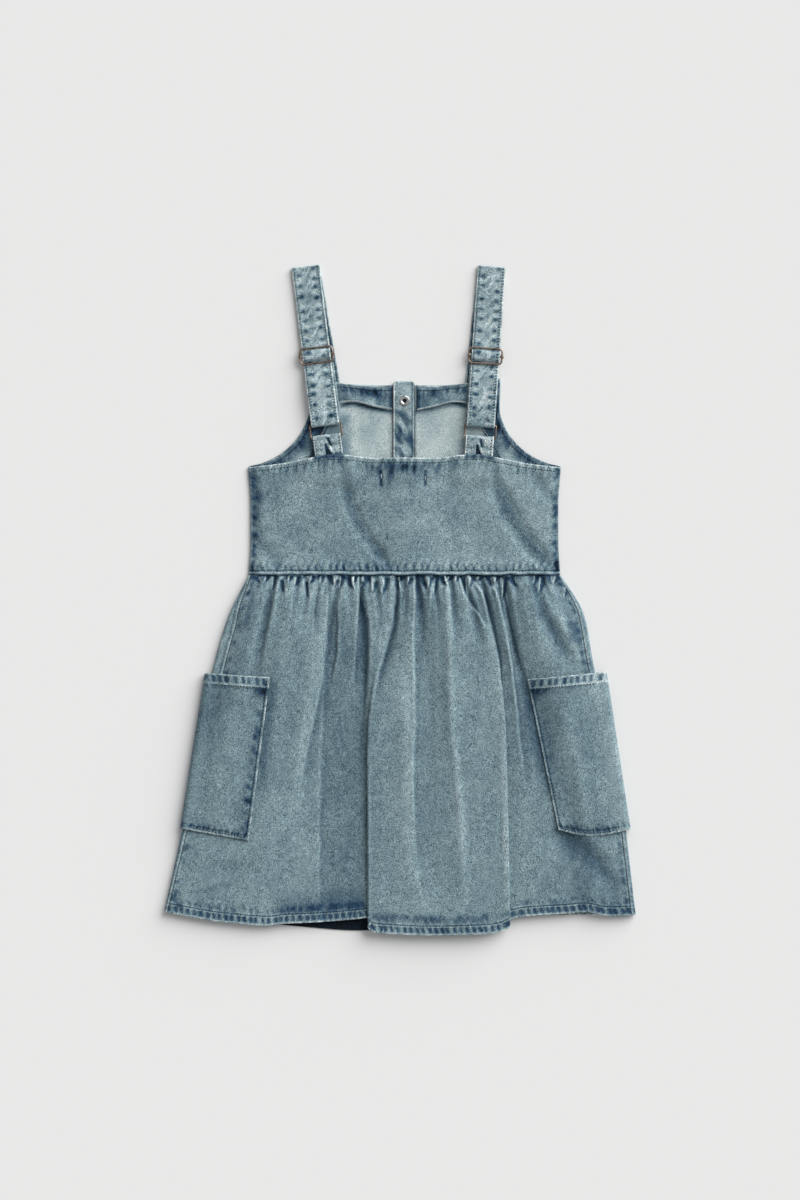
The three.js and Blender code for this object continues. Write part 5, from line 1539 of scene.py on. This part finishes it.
# ------------------------------------------------------------------ finishes
def linear(*srgb):
    """A colour given by its three values from 0 to 255, as shaders read it."""
    values = [c / 255 for c in srgb]
    return tuple(c / 12.92 if c <= 0.04045 else ((c + 0.055) / 1.055) ** 2.4 for c in values) + (1.0,)


def set_values(node, values):
    for socket, value in values.items():
        node.inputs[socket].default_value = value


def add(tree, kind, values=None, **settings):
    """A new node with its sockets' values and its own settings."""
    node = tree.nodes.new(kind)
    for key, value in settings.items():
        setattr(node, key, value)
    set_values(node, values or {})
    return node


def new_material(name):
    material = bpy.data.materials.new(name)
    material.use_nodes = True
    return material, material.node_tree, material.node_tree.nodes["Principled BSDF"]


def noise_on_piece(tree, scale, detail):
    place = add(tree, "ShaderNodeTexCoord")
    noise = add(tree, "ShaderNodeTexNoise", {"Scale": scale, "Detail": detail})
    tree.links.new(place.outputs["Object"], noise.inputs["Vector"])
    return noise.outputs["Fac"]


def coloured(tree, value, stops):
    """The colour of a value between its stops, each a place from 0 to 1 and a colour."""
    ramp = add(tree, "ShaderNodeValToRGB")
    while len(ramp.color_ramp.elements) < len(stops):
        ramp.color_ramp.elements.new(0.5)
    for element, (at, colour) in zip(ramp.color_ramp.elements, stops):
        element.position = at
        element.color = linear(*colour)
    tree.links.new(value, ramp.inputs["Fac"])
    return ramp.outputs["Color"]


def sums(tree, operation, a, b):
    """A Math node on two sockets or numbers."""
    node = add(tree, "ShaderNodeMath", operation=operation)
    for socket, value in zip(node.inputs, (a, b)):
        if isinstance(value, (int, float)):
            socket.default_value = value
        else:
            tree.links.new(value, socket)
    return node.outputs[0]


def ranged(tree, value, low, high, to_low=0.0, to_high=1.0, kind="SMOOTHSTEP"):
    """A value mapped from one range to another."""
    ends = {"From Min": low, "From Max": high, "To Min": to_low, "To Max": to_high}
    node = add(tree, "ShaderNodeMapRange", ends, interpolation_type=kind)
    tree.links.new(value, node.inputs["Value"])
    return node.outputs["Result"]


def wash_group():
    """Stone-washed denim: each place's shade from 0 indigo to 1 white, its speckle and its weave's height."""
    group = bpy.data.node_groups.new("stone_wash", "ShaderNodeTree")
    face = group.interface
    for label, value in (("Fade", 0.0), ("Edge", 9.0), ("Grain", 1.0)):
        face.new_socket(label, in_out="INPUT", socket_type="NodeSocketFloat").default_value = value
    for label in ("Shade", "Speckle", "Height"):
        face.new_socket(label, in_out="OUTPUT", socket_type="NodeSocketFloat")
    fed = add(group, "NodeGroupInput")
    out = add(group, "NodeGroupOutput")
    place = add(group, "ShaderNodeTexCoord")

    def noise(scale, detail, stretch=(1.0, 0.7, 1.0)):
        mapped = add(group, "ShaderNodeMapping", {"Scale": stretch})
        group.links.new(place.outputs["Object"], mapped.inputs["Vector"])
        node = add(group, "ShaderNodeTexNoise", {"Scale": scale, "Detail": detail, "Roughness": 0.6})
        group.links.new(mapped.outputs["Vector"], node.inputs["Vector"])
        return sums(group, "SUBTRACT", node.outputs["Fac"], 0.5)

    def mixed(*parts):
        total = 0.0
        for value, amount in parts:
            total = sums(group, "ADD", total, sums(group, "MULTIPLY", value, amount))
        return total

    salt, pepper, flecks, clouds = noise(1250, 1), noise(430, 2), noise(170, 2), noise(48, 2)
    grains = mixed((salt, 3.4), (pepper, 0.35), (flecks, 0.16))
    speckle = sums(group, "MULTIPLY", grains, fed.outputs["Grain"])
    group.links.new(sums(group, "ADD", speckle, 1.0), out.inputs["Speckle"])
    broken = ranged(group, mixed((flecks, 1.0), (pepper, 0.5)), -0.08, 0.1, 0.15, 1.0)
    worn = sums(group, "MULTIPLY", ranged(group, fed.outputs["Edge"], 0.4, 1.5, 0.34, 0.0), broken)
    washed_out = mixed((fed.outputs["Fade"], 0.4), (flecks, 0.2), (clouds, 0.14), (pepper, 0.18))
    shade = sums(group, "ADD", washed_out, 0.6)
    group.links.new(sums(group, "ADD", shade, worn), out.inputs["Shade"])
    sheet = add(group, "ShaderNodeUVMap", uv_map="weave")
    ribs = {"Scale": 800.0, "Distortion": 1.2, "Detail": 1.0}
    twill = add(group, "ShaderNodeTexWave", ribs, bands_direction="DIAGONAL")
    group.links.new(sheet.outputs["UV"], twill.inputs["Vector"])
    group.links.new(mixed((twill.outputs["Fac"], 0.08), (salt, 0.6), (pepper, 0.15)), out.inputs["Height"])
    return group


WASH = wash_group()


def denim(name, stops, grain=1.0, fade_shift=0.0):
    material, tree, bsdf = new_material(name)
    wash = add(tree, "ShaderNodeGroup", node_tree=WASH)
    wash.inputs["Grain"].default_value = grain
    fade = add(tree, "ShaderNodeAttribute", attribute_name="fade")
    edge = add(tree, "ShaderNodeAttribute", attribute_name="edge")
    tree.links.new(sums(tree, "ADD", fade.outputs["Fac"], fade_shift), wash.inputs["Fade"])
    tree.links.new(edge.outputs["Fac"], wash.inputs["Edge"])
    dyed = add(tree, "ShaderNodeVectorMath", operation="SCALE")
    tree.links.new(coloured(tree, wash.outputs["Shade"], stops), dyed.inputs[0])
    tree.links.new(wash.outputs["Speckle"], dyed.inputs["Scale"])
    tree.links.new(dyed.outputs["Vector"], bsdf.inputs["Base Color"])
    bump = add(tree, "ShaderNodeBump", {"Strength": 0.55, "Distance": 0.0004})
    tree.links.new(wash.outputs["Height"], bump.inputs["Height"])
    tree.links.new(bump.outputs["Normal"], bsdf.inputs["Normal"])
    set_values(bsdf, {"Roughness": 0.92, "Specular IOR Level": 0.12})
    set_values(bsdf, {"Sheen Weight": 0.12, "Sheen Roughness": 0.5})
    return material


DENIM_STOPS = (
    (0.0, (14, 26, 36)),
    (0.2, (40, 66, 90)),
    (0.4, (80, 103, 116)),
    (0.6, (121, 143, 150)),
    (0.8, (158, 176, 181)),
    (1.0, (196, 207, 208)),
)
INSIDE_STOPS = (
    (0.0, (60, 82, 96)),
    (0.2, (112, 134, 144)),
    (0.44, (150, 168, 173)),
    (0.64, (174, 188, 190)),
    (0.84, (192, 202, 202)),
    (1.0, (214, 220, 218)),
)
washed = denim("washed_denim", DENIM_STOPS)
strap_wash = denim("washed_denim_straps", DENIM_STOPS, grain=1.15)
reverse = denim("denim_reverse", INSIDE_STOPS, grain=0.5)
band_reverse = denim("placket_reverse", DENIM_STOPS, grain=0.9, fade_shift=0.35)


def metal(name, colour, dull, roughness):
    material, tree, bsdf = new_material(name)
    tarnish = noise_on_piece(tree, 260.0, 3.0)
    mix = add(tree, "ShaderNodeMix", {"A": linear(*colour), "B": linear(*dull)}, data_type="RGBA")
    tree.links.new(ranged(tree, tarnish, 0.4, 0.7), mix.inputs["Factor"])
    tree.links.new(mix.outputs["Result"], bsdf.inputs["Base Color"])
    rough = ranged(tree, tarnish, 0.3, 0.7, roughness * 0.8, roughness * 1.3)
    tree.links.new(rough, bsdf.inputs["Roughness"])
    bsdf.inputs["Metallic"].default_value = 1.0
    return material


copper = metal("copper_wire", (156, 140, 128), (92, 78, 70), 0.34)
nickel = metal("nickel_snap", (214, 214, 212), (150, 150, 150), 0.22)


def thread(name, dark, light):
    material, tree, bsdf = new_material(name)
    colour = coloured(tree, noise_on_piece(tree, 140.0, 2.0), ((0.35, dark), (0.68, light)))
    tree.links.new(colour, bsdf.inputs["Base Color"])
    set_values(bsdf, {"Roughness": 0.8, "Specular IOR Level": 0.15})
    return material


indigo_thread = thread("indigo_thread", (10, 22, 34), (36, 54, 68))
pale_thread = thread("pale_thread", (150, 165, 170), (204, 212, 212))


def table_top():
    bm = bmesh.new()
    bmesh.ops.create_grid(bm, x_segments=2, y_segments=2, size=4.0)
    bmesh.ops.translate(bm, verts=bm.verts, vec=(0, 0, -0.0002))
    top = finished("table_top", bm, smooth_faces=False)
    material, _, bsdf = new_material("table_paper")
    set_values(bsdf, {"Base Color": linear(231, 231, 231), "Roughness": 1.0, "Specular IOR Level": 0.0})
    top.data.materials.append(material)


table_top()


# ------------------------------------------------------------------ putting it together
def fit(piece, material, node=None):
    """Finish a piece and set it in the frame, in place of its solid where it has one."""
    piece.data.materials.append(material)
    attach(piece, "root")
    if node:
        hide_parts(node)
    return piece


skirt_back = fit(make_back_skirt(), washed, "back_skirt")
skirt_front = fit(make_front_skirt(), washed, "front_skirt")
for name in POCKETS:
    patch = fit(make_pocket(name), washed, f"pocket_{name}")
bodice = fit(make_back_bodice(), washed, "back_bodice")
for name, side in (("left", -1), ("right", 1)):
    bib = fit(make_bib(f"bib_{name}", side), reverse, f"front_bodice_{name}")
    facing = fit(make_facing(f"facing_{name}", side), washed, f"front_facing_{name}")
outer_band = fit(make_band("band_outer", 0, 101), washed, "placket_outer_band")
inner_band = make_band("band_inner", BAND_CLOTH + GAP, 104)
fit(inner_band, band_reverse, "placket_inner_band")

for k, (name, strap) in enumerate(STRAPS.items()):
    ribbon = make_ribbon(f"shoulder_strap_{name}", strap, STRAP_PATH, 111 + 10 * k)
    fit(ribbon, strap_wash, f"strap_{name}")
    loop = make_ribbon(f"ring_loop_{name}", strap, LOOP_PATH, 116 + 10 * k, crease=True)
    fit(loop, strap_wash, f"strap_loop_{name}")
    for piece in wire_loop(f"wire_ring_{name}", strap, RING_AT, RING_Z, *RING_SIZE):
        fit(piece, copper, f"ring_{name}")
    for piece in wire_loop(f"wire_slider_{name}", strap, SLIDER_AT, SLIDER_Z, *SLIDER_SIZE, bar=True):
        fit(piece, copper, f"slider_{name}")

SOCKET_Z = 2 * (BAND_CLOTH + GAP) + SNAP_CAP_THICK + GAP
for i, y in enumerate(SNAP_YS, 1):
    fit(spun(f"snap_front_{i}", SNAP_CAP, SNAP_X, y, 0), nickel, f"snap_cap_{i}")
    fit(spun(f"snap_socket_{i}", SNAP_SOCKET, SNAP_X, y, SOCKET_Z), nickel, f"snap_ring_{i}")

fit(make_thread("topstitching", STITCH_ROWS), indigo_thread)
fit(make_thread("overlocking", OVERLOCK), pale_thread)
